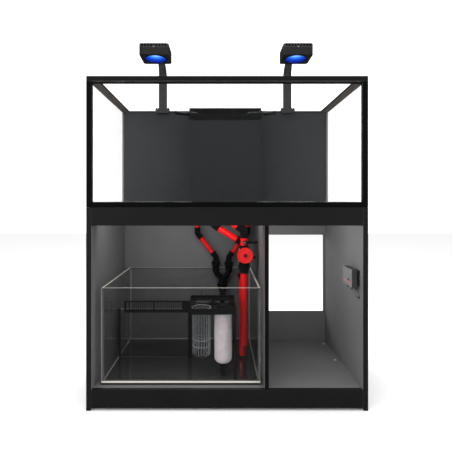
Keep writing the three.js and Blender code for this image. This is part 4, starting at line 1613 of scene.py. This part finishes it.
    def build_cup(self) -> None:
        """Makes the clear media cup with its flutes and rings."""
        r, low, rim = 39.5, 185.0, self.tray + 0.3
        arc = [i * math.pi / 2 / 6 for i in range(7)]
        outer = [(r - 12 + 12 * math.sin(a), low + 12 - 12 * math.cos(a)) for a in arc]
        inner = [(r - 11.5 + 9.5 * math.sin(a), low + 12 - 9.5 * math.cos(a)) for a in reversed(arc)]
        shell = Solid().turned(
            [
                (0, low), *outer, (r, rim), (44, rim), (45, rim + 1), (45, rim + 3), (44, rim + 3.7),
                (r - 2, rim + 3.7), *inner, (0, low + 2.5)
            ],
            (self.cup_x, self.rows[0], 0), segments=56,
        )
        self.keep(shell.piece("cup_shell", Finishes.ACRYLIC), Slot.GLASS, "media_cup", ["media_cup"])
        centre = (self.cup_x, self.rows[0], (low + rim) / 2 + 4)
        flutes = self.grip(
            "cup_flutes", 20, r + 0.2, (1.2, 1.8, rim - low - 26), centre, Axis.UP, Finishes.FROSTED
        )
        self.keep(flutes, Slot.GLASS, "media_cup")
        rings = Solid()
        for z in (238.0, 268.0, 398.0):
            rings.turned(
                [(r - 0.2, z), (r + 1.4, z + 0.4), (r + 1.4, z + 2.2), (r - 0.2, z + 2.6)],
                (self.cup_x, self.rows[0], 0), segments=56, closed=True,
            )
        rings.turned(
            [(40, rim + 3.4), (40.6, rim + 4.6), (44, rim + 4.6), (44.6, rim + 3.4)],
            (self.cup_x, self.rows[0], 0), segments=56, closed=True,
        )
        self.keep(rings.piece("cup_rings", Finishes.FROSTED), Slot.GLASS, "media_cup")

    def build_sock(self) -> None:
        """Makes the felt sock, with its soft folds, its seam and its collar."""
        low, rim, r, wall = 161.0, self.tray - 1.0, 39.6, 2.4
        arc = [i * math.pi / 2 / 10 for i in range(11)]
        corner = 24.0

        def skin(radius: float, floor: float, c: float) -> Outline:
            """The sock's profile from its lowest point to its top."""
            bend = [(radius - c + c * math.sin(a), floor + c - c * math.cos(a)) for a in arc]
            side = [(radius, z) for z in range(int(floor + c) + 8, int(rim) - 2, 8)]
            return [*bend, *side, (radius, rim)]

        outer = skin(r, low, corner)
        inner = skin(r - wall, low + wall, corner - wall)
        felt = Solid().turned(
            [(0, low), *outer, *reversed(inner), (0, low + wall)], (self.sock_x, self.rows[0], 0), segments=72
        )
        for vertex in felt.whole.verts:
            self.slump(vertex, low, rim)
        piece = felt.piece("sock_felt", Finishes.FELT, smooth=60)
        self.keep(piece, Slot.FELT, "filter_sock", ["filter_sock"])
        seam = Solid()
        points = [(r + 0.6, z) for z in range(200, 400, 5)]
        for (a, z0), (_, z1) in zip(points, points[1:]):
            seam.rod(
                (self.sock_x + a * 0.78, self.rows[0] - a * 0.62, z0 + 0.8),
                (self.sock_x + a * 0.78, self.rows[0] - a * 0.62, z1 - 0.8), 0.5, 0.2, 8,
            )
        self.keep(seam.piece("sock_stitches", Finishes.FELT), Slot.FELT, "filter_sock")
        z = self.tray + 0.3
        collar = Solid().turned(
            [
                (35.0, z - 44), (35.0, z + 4), (35.8, z + 4.7), (44.2, z + 4.7), (45, z + 4), (45, z),
                (41.4, z), (41.4, z - 0.6), (36.4, z - 0.6), (36.4, z - 44),
            ],
            (self.sock_x, self.rows[0], 0), segments=56, closed=True,
        )
        self.keep(collar.piece("sock_collar", Finishes.GREY_RING), Slot.BLACK, "filter_sock")

    def slump(self, vertex: BMVert, low: float, rim: float) -> None:
        """Lets the felt hang: it bellies a little near its foot and folds softly near its collar.

        Args:
            vertex: A vertex of the sock in millimetres.
            low: The sock's lowest point.
            rim: Its top.
        """
        out = Vector((vertex.co.x - self.sock_x, vertex.co.y - self.rows[0], 0))
        if out.length < 12:
            return
        share = (vertex.co.z - low) / (rim - low)
        angle = math.atan2(out.y, out.x)
        free = max(0.0, math.sin(math.pi * min(1.0, share)))
        fold = 0.5 * math.sin(5 * angle + 9 * share) + 0.35 * math.sin(9 * angle - 14 * share + 1.3)
        belly = 0.7 * math.sin(math.pi * max(0.0, 0.9 - share))
        vertex.co += out.normalized() * (free * fold + belly)


@dataclass
class Plumbing(SubAssembly):
    """The red pipes with their black fittings, the valves, the wye and the return pump."""

    riser: float = 510.0
    under_tank: float = 813.0
    tank_low: float = 865.3
    tank_floor: float = 880.0
    drain: Span = (89.0, 254.0)  # x and depth
    spare: Span = (84.0, 300.0)
    middle: float = -16.0
    dial: Span = (92.0, 630.0)  # x and height
    lever: float = 692.0

    def build(self) -> None:
        """Makes every run, fitting and valve."""
        (x, d), (sx, sd), r, u = self.drain, self.spare, self.riser, self.under_tank
        self.run(
            "drain", [(x, d, 711), (x, d, 751), (-14, d, u), (-14, r, u), (-14, r, 1290)], 18.5, ["drain_run"]
        )
        self.run(
            "emergency",
            [(sx, sd, 640), (sx, sd, 681), (-66, sd, 776), (-66, sd, u), (-66, r, u), (-66, r, 1352)], 15.5,
            ["emergency_run"],
        )
        for word, low, up, side in (("left", -52.0, -156.0, -1), ("right", 20.0, 125.0, 1)):
            path = [(low, r, 557), (low, r, 580), (up, r, 712), (up, r, 1381), (side * 197, r, 1381)]
            self.run(f"return_{word}", path, 13.0, [f"return_run_{word}"])
        for name, at, size in (
            ("drain", -14, 18.5), ("emergency", -66, 15.5), ("left", -156, 13.0), ("right", 125, 13.0)
        ):
            self.bulkhead(name, at, size)
        self.straight_pipes()
        self.union("drain_union", (x, d), (538, 584), 23.0, 28.5, ["drain_union"])
        self.gate_valve()
        self.ball_valve()
        self.wye()
        self.pump()

    def run(self, name: str, path: Sequence[Point], radius: float, stands_for: Sequence[str]) -> None:
        """Makes a red pipe along a path, with a black elbow at each bend.

        Args:
            name: What its pieces are named after.
            path: The path's points.
            radius: The pipe's radius.
            stands_for: The frame nodes that it replaces.
        """
        bend = radius * 1.25
        pipe = self.rules.pipe.make(
            f"{name}_pipe", Finishes.RED_PIPE, {"Radius": radius * MM, "Bend": bend * MM}, route=path
        )
        self.keep(pipe, Slot.RED, stands_for=stands_for)
        points = [Vector(p) for p in path]
        collars = Solid()
        for i in range(1, len(points) - 1):
            ways, legs = [], []
            for j in (i - 1, i + 1):
                way = points[j] - points[i]
                last = j in (0, len(points) - 1)
                sleeved = last and way.length < 90
                legs.append(way.length * 0.97 if sleeved else min(radius * 1.25 + 17, way.length * 0.46))
                ways.append(way.normalized())
            route = [points[i] + ways[0] * legs[0], points[i], points[i] + ways[1] * legs[1]]
            shell = self.rules.pipe.make(
                f"{name}_elbow_{i}", Finishes.FITTING, {"Radius": (radius + 2.6) * MM, "Bend": bend * MM},
                route=route
            )
            self.keep(shell, Slot.BLACK)
            for way, leg in zip(ways, legs):
                out = radius + 4.4
                deep = min(13.0, leg * 0.4)
                collars.turned(
                    [
                        (radius, leg + 0.4), (out - 0.8, leg + 0.4), (out, leg - 0.5), (out, leg - deep + 1.2),
                        (out - 1.4, leg - deep), (radius, leg - deep),
                    ],
                    points[i], way, 36, closed=True,
                )
        self.keep(collars.piece(f"{name}_sockets", Finishes.FITTING), Slot.BLACK)

    def bulkhead(self, name: str, x: float, radius: float) -> None:
        """Makes the flange, gasket and nut where a pipe passes the tank's floor."""
        out = radius + 6.5
        fitting = Solid()
        top, low = self.tank_floor + 0.3, self.tank_low
        for z0, z1, r, sides in (
            (top, top + 2, out, 40), (top + 2, top + 7.7, out - 2, 6), (low - 8, low + 2.2, out, 6)
        ):
            fitting.turned(
                [(radius, z0), (r - 0.6, z0), (r, z0 + 0.6), (r, z1 - 0.6), (r - 0.6, z1), (radius, z1)],
                (x, self.riser, 0), segments=sides, closed=True,
            )
        self.keep(fitting.piece(f"bulkhead_{name}", Finishes.FITTING), Slot.BLACK)

    def straight_pipes(self) -> None:
        """Makes the two drop pipes into the sump, open at their lower ends."""
        for name, (x, d), low, top, r, node in (
            ("drain_drop", self.drain, 184.0, 540.0, 18.5, "drain_pipe"),
            ("emergency_drop", self.spare, 117.0, 610.0, 15.5, "emergency_pipe"),
        ):
            bore = r - 2.6
            pipe = Solid().turned(
                [
                    (0, low + 30), (bore, low + 30), (bore, low + 0.6), (bore + 0.6, low), (r - 0.5, low),
                    (r, low + 0.6), (r, top), (0, top),
                ],
                (x, d, 0), segments=48,
            )
            self.keep(pipe.piece(name, Finishes.RED_PIPE), Slot.RED, stands_for=[node])
        x, d = self.spare
        sleeve = Solid().turned(
            [(0, 604), (18.6, 604), (19.4, 605), (19.4, 638.5), (18.4, 639.4), (0, 639.4)], (x, d, 0),
            segments=40,
        )
        self.keep(sleeve.piece("emergency_sleeve", Finishes.FITTING), Slot.BLACK)
        self.union("emergency_union", self.spare, (498, 529), 19.0, 25.5)

    def union(
        self, name: str, at: Point, z: Point, sleeve: float, nut: float, stands_for: Sequence[str] = ()
    ) -> None:
        """Makes a union: a sleeve with a ribbed nut on its upper part.

        Args:
            name: The piece's name.
            at: x and depth of its axis.
            z: Its lower and upper ends.
            sleeve: The sleeve's radius.
            nut: The radius over the nut's ribs.
            stands_for: The frame nodes that it replaces.
        """
        low, high = z
        start = low + (high - low) * 0.45
        body = Solid()
        body.turned(
            [(0, low), (sleeve - 1, low), (sleeve, low + 1), (sleeve, start + 1), (0, start + 1)], (*at, 0),
            segments=48,
        )
        skin = nut - 1.3
        body.turned(
            [
                (0, start), (skin - 1.4, start), (skin, start + 1.4), (skin, high - 1.8),
                (skin - 1.6, high - 0.2), (0, high - 0.2),
            ],
            (*at, 0), segments=48,
        )
        self.keep(body.piece(name + "_body", Finishes.FITTING), Slot.BLACK, stands_for=stands_for)
        middle = (*at, (start + high) / 2)
        ribs = self.grip(
            name + "_ribs", 16, skin, (2.6, 3.4, (high - start) * 0.78), middle, Axis.UP, Finishes.FITTING
        )
        self.keep(ribs, Slot.BLACK)

    def gate_valve(self) -> None:
        """Makes the gate valve's body, its bonnet with four bolts, and its dial."""
        (x, d), (dx, dz) = self.drain, self.dial
        body = Solid()
        body.turned(
            [
                (0, 584.3), (22.6, 584.3), (24, 586), (24, 600), (21.5, 603), (21.5, 655), (24, 657), (24, 662),
                (22.4, 664), (22.4, 674.6), (21.4, 675.7), (0, 675.7),
            ],
            (x, d, 0), segments=48,
        )
        body.rod((dx, 233, dz), (dx, d, dz), 22, 1.0, 40)
        corners = [(-1, -1), (1, -1), (1, 1), (-1, 1)]
        plate = []
        for sx, sz in corners:
            start = math.atan2(sz, sx) - math.pi / 4
            for step in range(4):
                a = start + step * math.pi / 6
                plate.append((dx + 27 * sx + 6 * math.cos(a), dz + 27 * sz + 6 * math.sin(a)))
        body.prism(plate, Axis.BACK, 228, 237.5, 1.2)
        body.prism(
            [
                (dx + 24, dz - 17), (143, dz - 17), (146, dz - 14), (146, dz - 9), (143, dz - 6),
                (dx + 24, dz - 6),
            ],
            Axis.BACK, 229.2, 236, 1.2,
        )
        self.keep(body.piece("gate_valve_shell", Finishes.FITTING), Slot.BLACK, stands_for=["gate_valve_body"])
        for row, z in (("low", dz - 28), ("high", dz + 28)):
            bolts = self.screws(
                f"bonnet_bolts_{row}", 2, (dx - 28, 227.6, z), (56, 0, 0), 3.6, (90, 0, 0),
                Finishes.BRIGHT_SCREW,
            )
            self.keep(bolts, Slot.METAL)
        wheel = Solid()
        wheel.turned(
            [
                (0, 0), (9.5, 0), (9.5, 2.6), (11, 3.2), (29, 2.4), (31, 0.6), (36.6, 0), (38.2, 1.4),
                (38.2, 10.4), (36.6, 12), (0, 12),
            ],
            (dx, 206, dz), Axis.BACK, 72,
        )
        self.keep(wheel.piece("dial_wheel", Finishes.RED_ABS), Slot.RED, "valve_dial", ["gate_valve_dial"])
        notches = self.grip("dial_grip", 36, 38.1, (1.4, 2.6, 8.0), (dx, 212, dz), Axis.BACK, Finishes.RED_ABS)
        self.keep(notches, Slot.RED, "valve_dial")
        hub = Solid()
        hub.turned(
            [(0, 0.6), (3.2, 0.6), (3.2, -1.4), (7.6, -1.4), (8.6, -0.4), (8.6, 3), (0, 3)], (dx, 206, dz),
            Axis.BACK, 40,
        )
        hub.rod((dx, 217, dz), (dx, 232, dz), 6, 0.3, 24)
        self.keep(hub.piece("dial_hub", Finishes.FITTING), Slot.BLACK, "valve_dial")

    def ball_valve(self) -> None:
        """Makes the ball valve's red body and its black lever."""
        (x, d), z = self.drain, self.lever
        body = Solid()
        body.turned(
            [
                (0, 676), (20.4, 676), (20.8, 677), (20.8, 681), (17.6, 683), (17.6, 702), (20.8, 704),
                (20.8, 708), (20.2, 708.8), (0, 708.8),
            ],
            (x, d, 0), segments=48,
        )
        body.rod((x, 237.4, z), (x, d, z), 9.6, 0.8, 32)
        self.keep(body.piece("ball_valve_shell", Finishes.RED_PIPE), Slot.RED, stands_for=["ball_valve_body"])
        lever = Solid()
        lever.rod((x, 216.6, z), (x, 236.2, z), 8.5, 1.2, 36)
        bar = [
            (x - 4, z - 7.2), (128, z - 5.6), (150, z - 7.6), (154, z - 5), (155, z), (154, z + 5),
            (150, z + 7.8), (128, z + 6.2), (x - 4, z + 7.4),
        ]
        lever.prism(bar, Axis.BACK, 217.4, 224.6, 1.6, 3)
        lever.prism(
            [(102, z - 1.6), (146, z - 1.6), (148, z), (146, z + 1.6), (102, z + 1.6)], Axis.BACK, 215.9, 218,
            0.6,
        )
        self.keep(
            lever.piece("lever_handle", Finishes.BLACK_ABS), Slot.BLACK, "valve_lever", ["ball_valve_lever"]
        )
        screw = self.screws("lever_screw", 1, (x, 216.2, z), (0, 0, 0), 4.2, (90, 0, 0), Finishes.BRIGHT_SCREW)
        self.keep(screw, Slot.METAL, "valve_lever")

    def wye(self) -> None:
        """Makes the wye with its two small unions, its large one and the stub to the pump."""
        r, m = self.riser, self.middle
        body = Solid()
        body.turned(
            [(0, 207), (13.2, 207), (14, 208), (14, 384), (18.5, 386), (18.5, 404), (20, 408), (0, 408)],
            (m, r, 0), segments=40
        )
        body.turned(
            [(0, 432), (19, 432), (20.4, 434), (20.4, 446), (17, 452), (0, 452)], (m, r, 0), segments=40
        )
        for x in (-52.0, 20.0):
            body.turned(
                [(0, 494), (17.6, 496), (18.6, 499), (18.6, 512), (20.6, 515), (20.6, 520), (0, 520)],
                (x, r, 0), segments=40,
            )
        self.keep(body.piece("wye_sockets", Finishes.FITTING), Slot.BLACK, stands_for=["return_wye"])
        for word, x in (("left", -52.0), ("right", 20.0)):
            leg = self.rules.pipe.make(
                f"wye_leg_{word}", Finishes.FITTING, {"Radius": 16 * MM, "Bend": 26 * MM},
                route=[(x, r, 516), (x, r, 492), (m, r, 458), (m, r, 428)],
            )
            self.keep(leg, Slot.BLACK)
            self.union(f"wye_union_{word}", (x, r), (510, 556.4), 20.0, 24.5)
        self.union("pump_union", (m, r), (396, 435), 21.0, 29.5)

    def pump(self) -> None:
        """Makes the return pump: motor block, volute, inlet grille, outlet and feet."""
        x, r = self.middle, self.riser
        body = Solid()
        body.block((x - 38, x + 38), (456, 540), (112, 170), 7, 3)
        body.turned(
            [(0, 438), (25, 438), (27, 440), (27, 452), (34, 457), (0, 457)], (x, 0, 139), Axis.BACK, 48
        )
        body.turned(
            [(0, 168), (21, 168), (21, 172), (19, 174), (19, 205), (18, 206.6), (0, 206.6)], (x, r, 0),
            segments=40,
        )
        for dx in (-30, 30):
            for depth in (464, 532):
                body.turned(
                    [(0, 106.3), (7, 106.3), (8, 107.5), (6, 113), (0, 113)], (x + dx, depth, 0), segments=24
                )
        self.keep(body.piece("pump_shell", Finishes.BLACK_ABS), Slot.BLACK, stands_for=["return_pump"])
        fins = self.bars("pump_fins", 9, (x - 32, 498, 170.6), (8, 0, 0), (2.4, 70, 3), Finishes.BLACK_ABS)
        self.keep(fins, Slot.BLACK)
        grille = self.grip(
            "inlet_grille", 14, 17, (12, 2.2, 1.6), (x, 437.8, 139), Axis.BACK, Finishes.BLACK_ABS
        )
        self.keep(grille, Slot.BLACK)


@dataclass
class Controller(SubAssembly):
    """The small controller on the right side panel, with its short lead into the panel."""

    x: Span = (541.0, 567.2)
    depth: Span = (36.0, 146.0)
    z: Span = (515.0, 594.5)
    wall: float = 577.7
    button: Span = (72.0, 545.0)  # depth and height
    lead_x: float = 563.0
    lead_depth: float = 44.0
    lead_exit: float = 503.5
    lead_turn: float = 481.0
    lead_bend: float = 10.0
    lead_radius: float = 1.75
    lead_end: float = 573.5

    def build(self) -> None:
        """Makes the case and what is on it, but not the lead, which main makes first."""
        (x0, x1), (d0, d1), (z0, z1) = self.x, self.depth, self.z
        case = Solid().block((x0 + 2.2, x1), (d0, d1), (z0, z1), 2.4, 4)
        case.turned(
            [(0, 503.9), (2.7, 503.9), (2.9, 506), (4.2, 509), (5.2, 516), (0, 516)],
            (self.lead_x, self.lead_depth, 0), segments=28,
        )
        self.keep(
            case.piece("controller_shell", Finishes.DARK_CASE), Slot.BLACK, stands_for=["controller_case"]
        )
        hole = [
            (self.button[0] + 4.6 * math.cos(a), self.button[1] + 4.6 * math.sin(a))
            for a in (2 * math.pi * i / 28 for i in range(28))
        ]
        face = self.rounded((d0 + 0.3, d1 - 0.3), (z0 + 0.3, z1 - 0.3), 3.0)
        plate = Solid().prism(face, Axis.RIGHT, x0, x0 + 2.6, 0.7, holes=[hole])
        self.keep(plate.piece("controller_face", Finishes.GREY_ABS), Slot.GREY)
        stripe = Solid().block((x0 - 0.2, x0 + 0.5), (d0 + 1.4, d1 - 1.4), (531.2, 535.8), 0.2)
        self.keep(stripe.piece("controller_stripe", Finishes.STRIPE), Slot.GREY)
        feet = Solid()
        for depth in (52.0, 101.0):
            feet.turned(
                [(0, 508), (3.6, 508), (4.6, 509.2), (4.6, 513), (6, 514), (6, 516), (0, 516)], (549, depth, 0),
                segments=28,
            )
        self.keep(feet.piece("cable_glands", Finishes.BLACK_ABS), Slot.BLACK)
        self.build_bracket()
        at = (x0, *self.button)
        cap = Solid().turned([(0, -4), (4, -4), (4, 0.9), (3.5, 1.5), (2.2, 1.3), (0, 1.2)], at, Axis.LEFT, 32)
        self.keep(
            cap.piece("controller_button_cap", Finishes.BLACK_ABS), Slot.BLACK, "controller_button",
            ["controller_button"],
        )

    @staticmethod
    def rounded(first: Span, second: Span, r: float) -> Outline:
        """A rectangle's outline with round corners.

        Args:
            first: Its range in the first coordinate.
            second: Its range in the second one.
            r: The corners' radius.

        Returns:
            The outline's points.
        """
        (a0, a1), (b0, b1) = first, second
        corners = ((a1 - r, b0 + r, -90), (a1 - r, b1 - r, 0), (a0 + r, b1 - r, 90), (a0 + r, b0 + r, 180))
        return [
            (a + r * math.cos(math.radians(s + t)), b + r * math.sin(math.radians(s + t)))
            for a, b, s in corners
            for t in (0, 22.5, 45, 67.5, 90)
        ]

    def build_bracket(self) -> None:
        """Makes the two clips that hold the case to the panel."""
        clips = Solid()
        for span in ((520.0, 549.0), (563.0, 590.0)):
            clips.prism(self.rounded((36.5, 141), span, 7), Axis.RIGHT, self.x[1] + 0.2, self.wall, 1.2)
        self.keep(
            clips.piece("controller_clips", Finishes.BLACK_ABS), Slot.BLACK, stands_for=["controller_bracket"]
        )

    def build_lead(self) -> None:
        """Makes the lead: straight down, then one bend into the panel, with its grommet."""
        bend = self.lead_bend
        points = [(self.lead_x, self.lead_exit - (self.lead_exit - self.lead_turn) * i / 8) for i in range(8)]
        for i in range(13):
            a = math.pi / 2 * i / 12
            points.append((self.lead_x + bend * (1 - math.cos(a)), self.lead_turn - bend * math.sin(a)))
        points.append((self.lead_end, self.lead_turn - self.lead_bend))
        data = bpy.data.curves.new("controller_lead_sheath", "CURVE")
        data.dimensions, data.bevel_depth = "3D", self.lead_radius * MM
        data.bevel_resolution, data.use_fill_caps = 5, True
        spline = data.splines.new("POLY")
        spline.points.add(len(points) - 1)
        for place, (x, z) in zip(spline.points, points):
            place.co = (*metres((x, self.lead_depth, z)), 1.0)
        data.materials.append(Finishes.SHEATH.material())
        lead = new_object("controller_lead_sheath", data)
        self.keep(lead, Slot.LEAD, stands_for=["controller_lead"])
        grommet = Solid().turned(
            [(1.9, 0), (5, 0), (5.6, 0.6), (5.6, 1.4), (5.1, 2), (5.1, 3.8), (1.9, 3.8)],
            (573.9, self.lead_depth, self.lead_turn - self.lead_bend), Axis.RIGHT, 32, closed=True,
        )
        ring = self.keep(
            grommet.piece("panel_grommet", Finishes.SEALANT), Slot.BLACK, stands_for=["lead_grommet"]
        )


# ---- studio


@dataclass
class Studio:
    """The camera, the pale floor and the soft lights."""

    eye: Triple = (-0.0338, -1.8775, 0.8884)
    lens: float = 29.44
    shift: Span = (0.015, -0.0531)
    sky: float = 1.9  # what is seen straight on or through glass
    fill: float = 1.02  # what lights matt surfaces
    gleam: float = 0.05  # what shows in gloss

    def camera(self) -> None:
        """Places the camera in front, level with the cabinet's top."""
        data = bpy.data.cameras.new("camera")
        data.sensor_width, data.lens = 36.0, self.lens
        data.shift_x, data.shift_y = self.shift
        data.clip_start, data.clip_end = 0.01, 60.0
        made = new_object("camera", data)
        made.location, made.rotation_euler = self.eye, (math.pi / 2, 0.0, 0.0)
        bpy.context.scene.camera = made

    def room(self) -> None:
        """Makes the floor and the pale surroundings."""
        floor = Solid().block((-9000, 9000), (-9000, 9000), (-20, 0), 2)
        piece = floor.piece("studio_floor", Finishes.STUDIO_FLOOR)
        piece.visible_glossy, piece.visible_transmission = False, False
        scene = bpy.context.scene
        scene.view_settings.view_transform = "Standard"
        scene.cycles.transparent_max_bounces = 32
        world = bpy.data.worlds.new("studio")
        scene.world = world
        world.use_nodes = True
        world.cycles.sampling_method = "NONE"
        tree = world.node_tree
        back = tree.nodes["Background"]
        back.inputs["Color"].default_value = linear("#ffffff")
        path = add_node(tree, "ShaderNodeLightPath")
        shiny = add_node(
            tree, "ShaderNodeMath", {"operation": "GREATER_THAN", 1: 0.5}, {0: path.outputs["Glossy Depth"]}
        )
        seen = add_node(tree, "ShaderNodeMix", {2: self.sky, 3: self.gleam}, {0: shiny.outputs[0]})
        matt = add_node(
            tree, "ShaderNodeMath", {"operation": "GREATER_THAN", 1: 0.5}, {0: path.outputs["Diffuse Depth"]}
        )
        final = add_node(tree, "ShaderNodeMix", {3: self.fill}, {0: matt.outputs[0], 2: seen.outputs[0]})
        tree.links.new(final.outputs[0], back.inputs["Strength"])

    def lights(self) -> None:
        """Hangs the soft boxes."""
        self.soft_box("key", (-3.2, -2.0, 1.8), (0.0, 0.0, 0.7), (1.4, 1.4), 26)
        self.soft_box("fill", (3.2, -2.0, 1.5), (0.0, 0.0, 0.7), (1.4, 1.4), 18)
        self.soft_box("top", (0.0, -0.6, 4.4), (0.0, -0.2, 0.0), (2.6, 2.6), 90)
        low = self.soft_box("low", (-0.6, -1.6, 0.7), (-0.2, 0.0, 0.1), (1.3, 0.9), 2.6)
        bay = self.soft_box("left_bay", (-0.2, -0.24, 0.81), (-0.2, 0.26, 0.66), (0.6, 0.04), 1.5)
        self.soft_box("right_bay", (0.26, -0.2, 0.76), (0.58, 0.05, 0.68), (0.2, 0.1), 1.1)
        rear = self.soft_box("window", (-0.3, 1.2, 0.95), (0.45, 0.27, 0.5), (0.5, 0.5), 8)
        for lamp in (low, bay, rear):
            lamp.visible_glossy, lamp.visible_transmission = False, False

    def soft_box(
        self, name: str, at: Point, towards: Point, size: Span, power: float
    ) -> Object:
        """Hangs one soft box.

        Args:
            name: Its name.
            at: Where it is, in metres.
            towards: What it faces.
            size: Its width and height.
            power: Its power in watts.

        Returns:
            The lamp object.
        """
        data = bpy.data.lights.new(name, "AREA")
        data.shape, data.energy = "RECTANGLE", power
        data.size, data.size_y = size
        made = new_object(name, data)
        made.location = at
        made.rotation_euler = (Vector(towards) - Vector(at)).to_track_quat("-Z", "Y").to_euler()
        return made


def main() -> None:
    """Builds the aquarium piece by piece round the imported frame."""
    logging.basicConfig(level=logging.INFO, format="%(name)s: %(message)s")
    bpy.ops.wm.read_factory_settings(use_empty=True)
    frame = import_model()
    NODES.update(frame["nodes"])
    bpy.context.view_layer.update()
    rules = Rules()
    studio = Studio()
    studio.camera()
    controller = Controller(rules)
    controller.build_lead()
    studio.room()
    studio.lights()
    parts: list[SubAssembly] = [
        Cabinet(rules), Tank(rules), Weir(rules), Lamp(rules, Side.LEFT), Lamp(rules, Side.RIGHT),
        Sump(rules), Plumbing(rules), controller,
    ]
    for part in parts:
        part.build()
        log.info("%s is done", type(part).__name__)


if __name__ == "__main__":
    main()
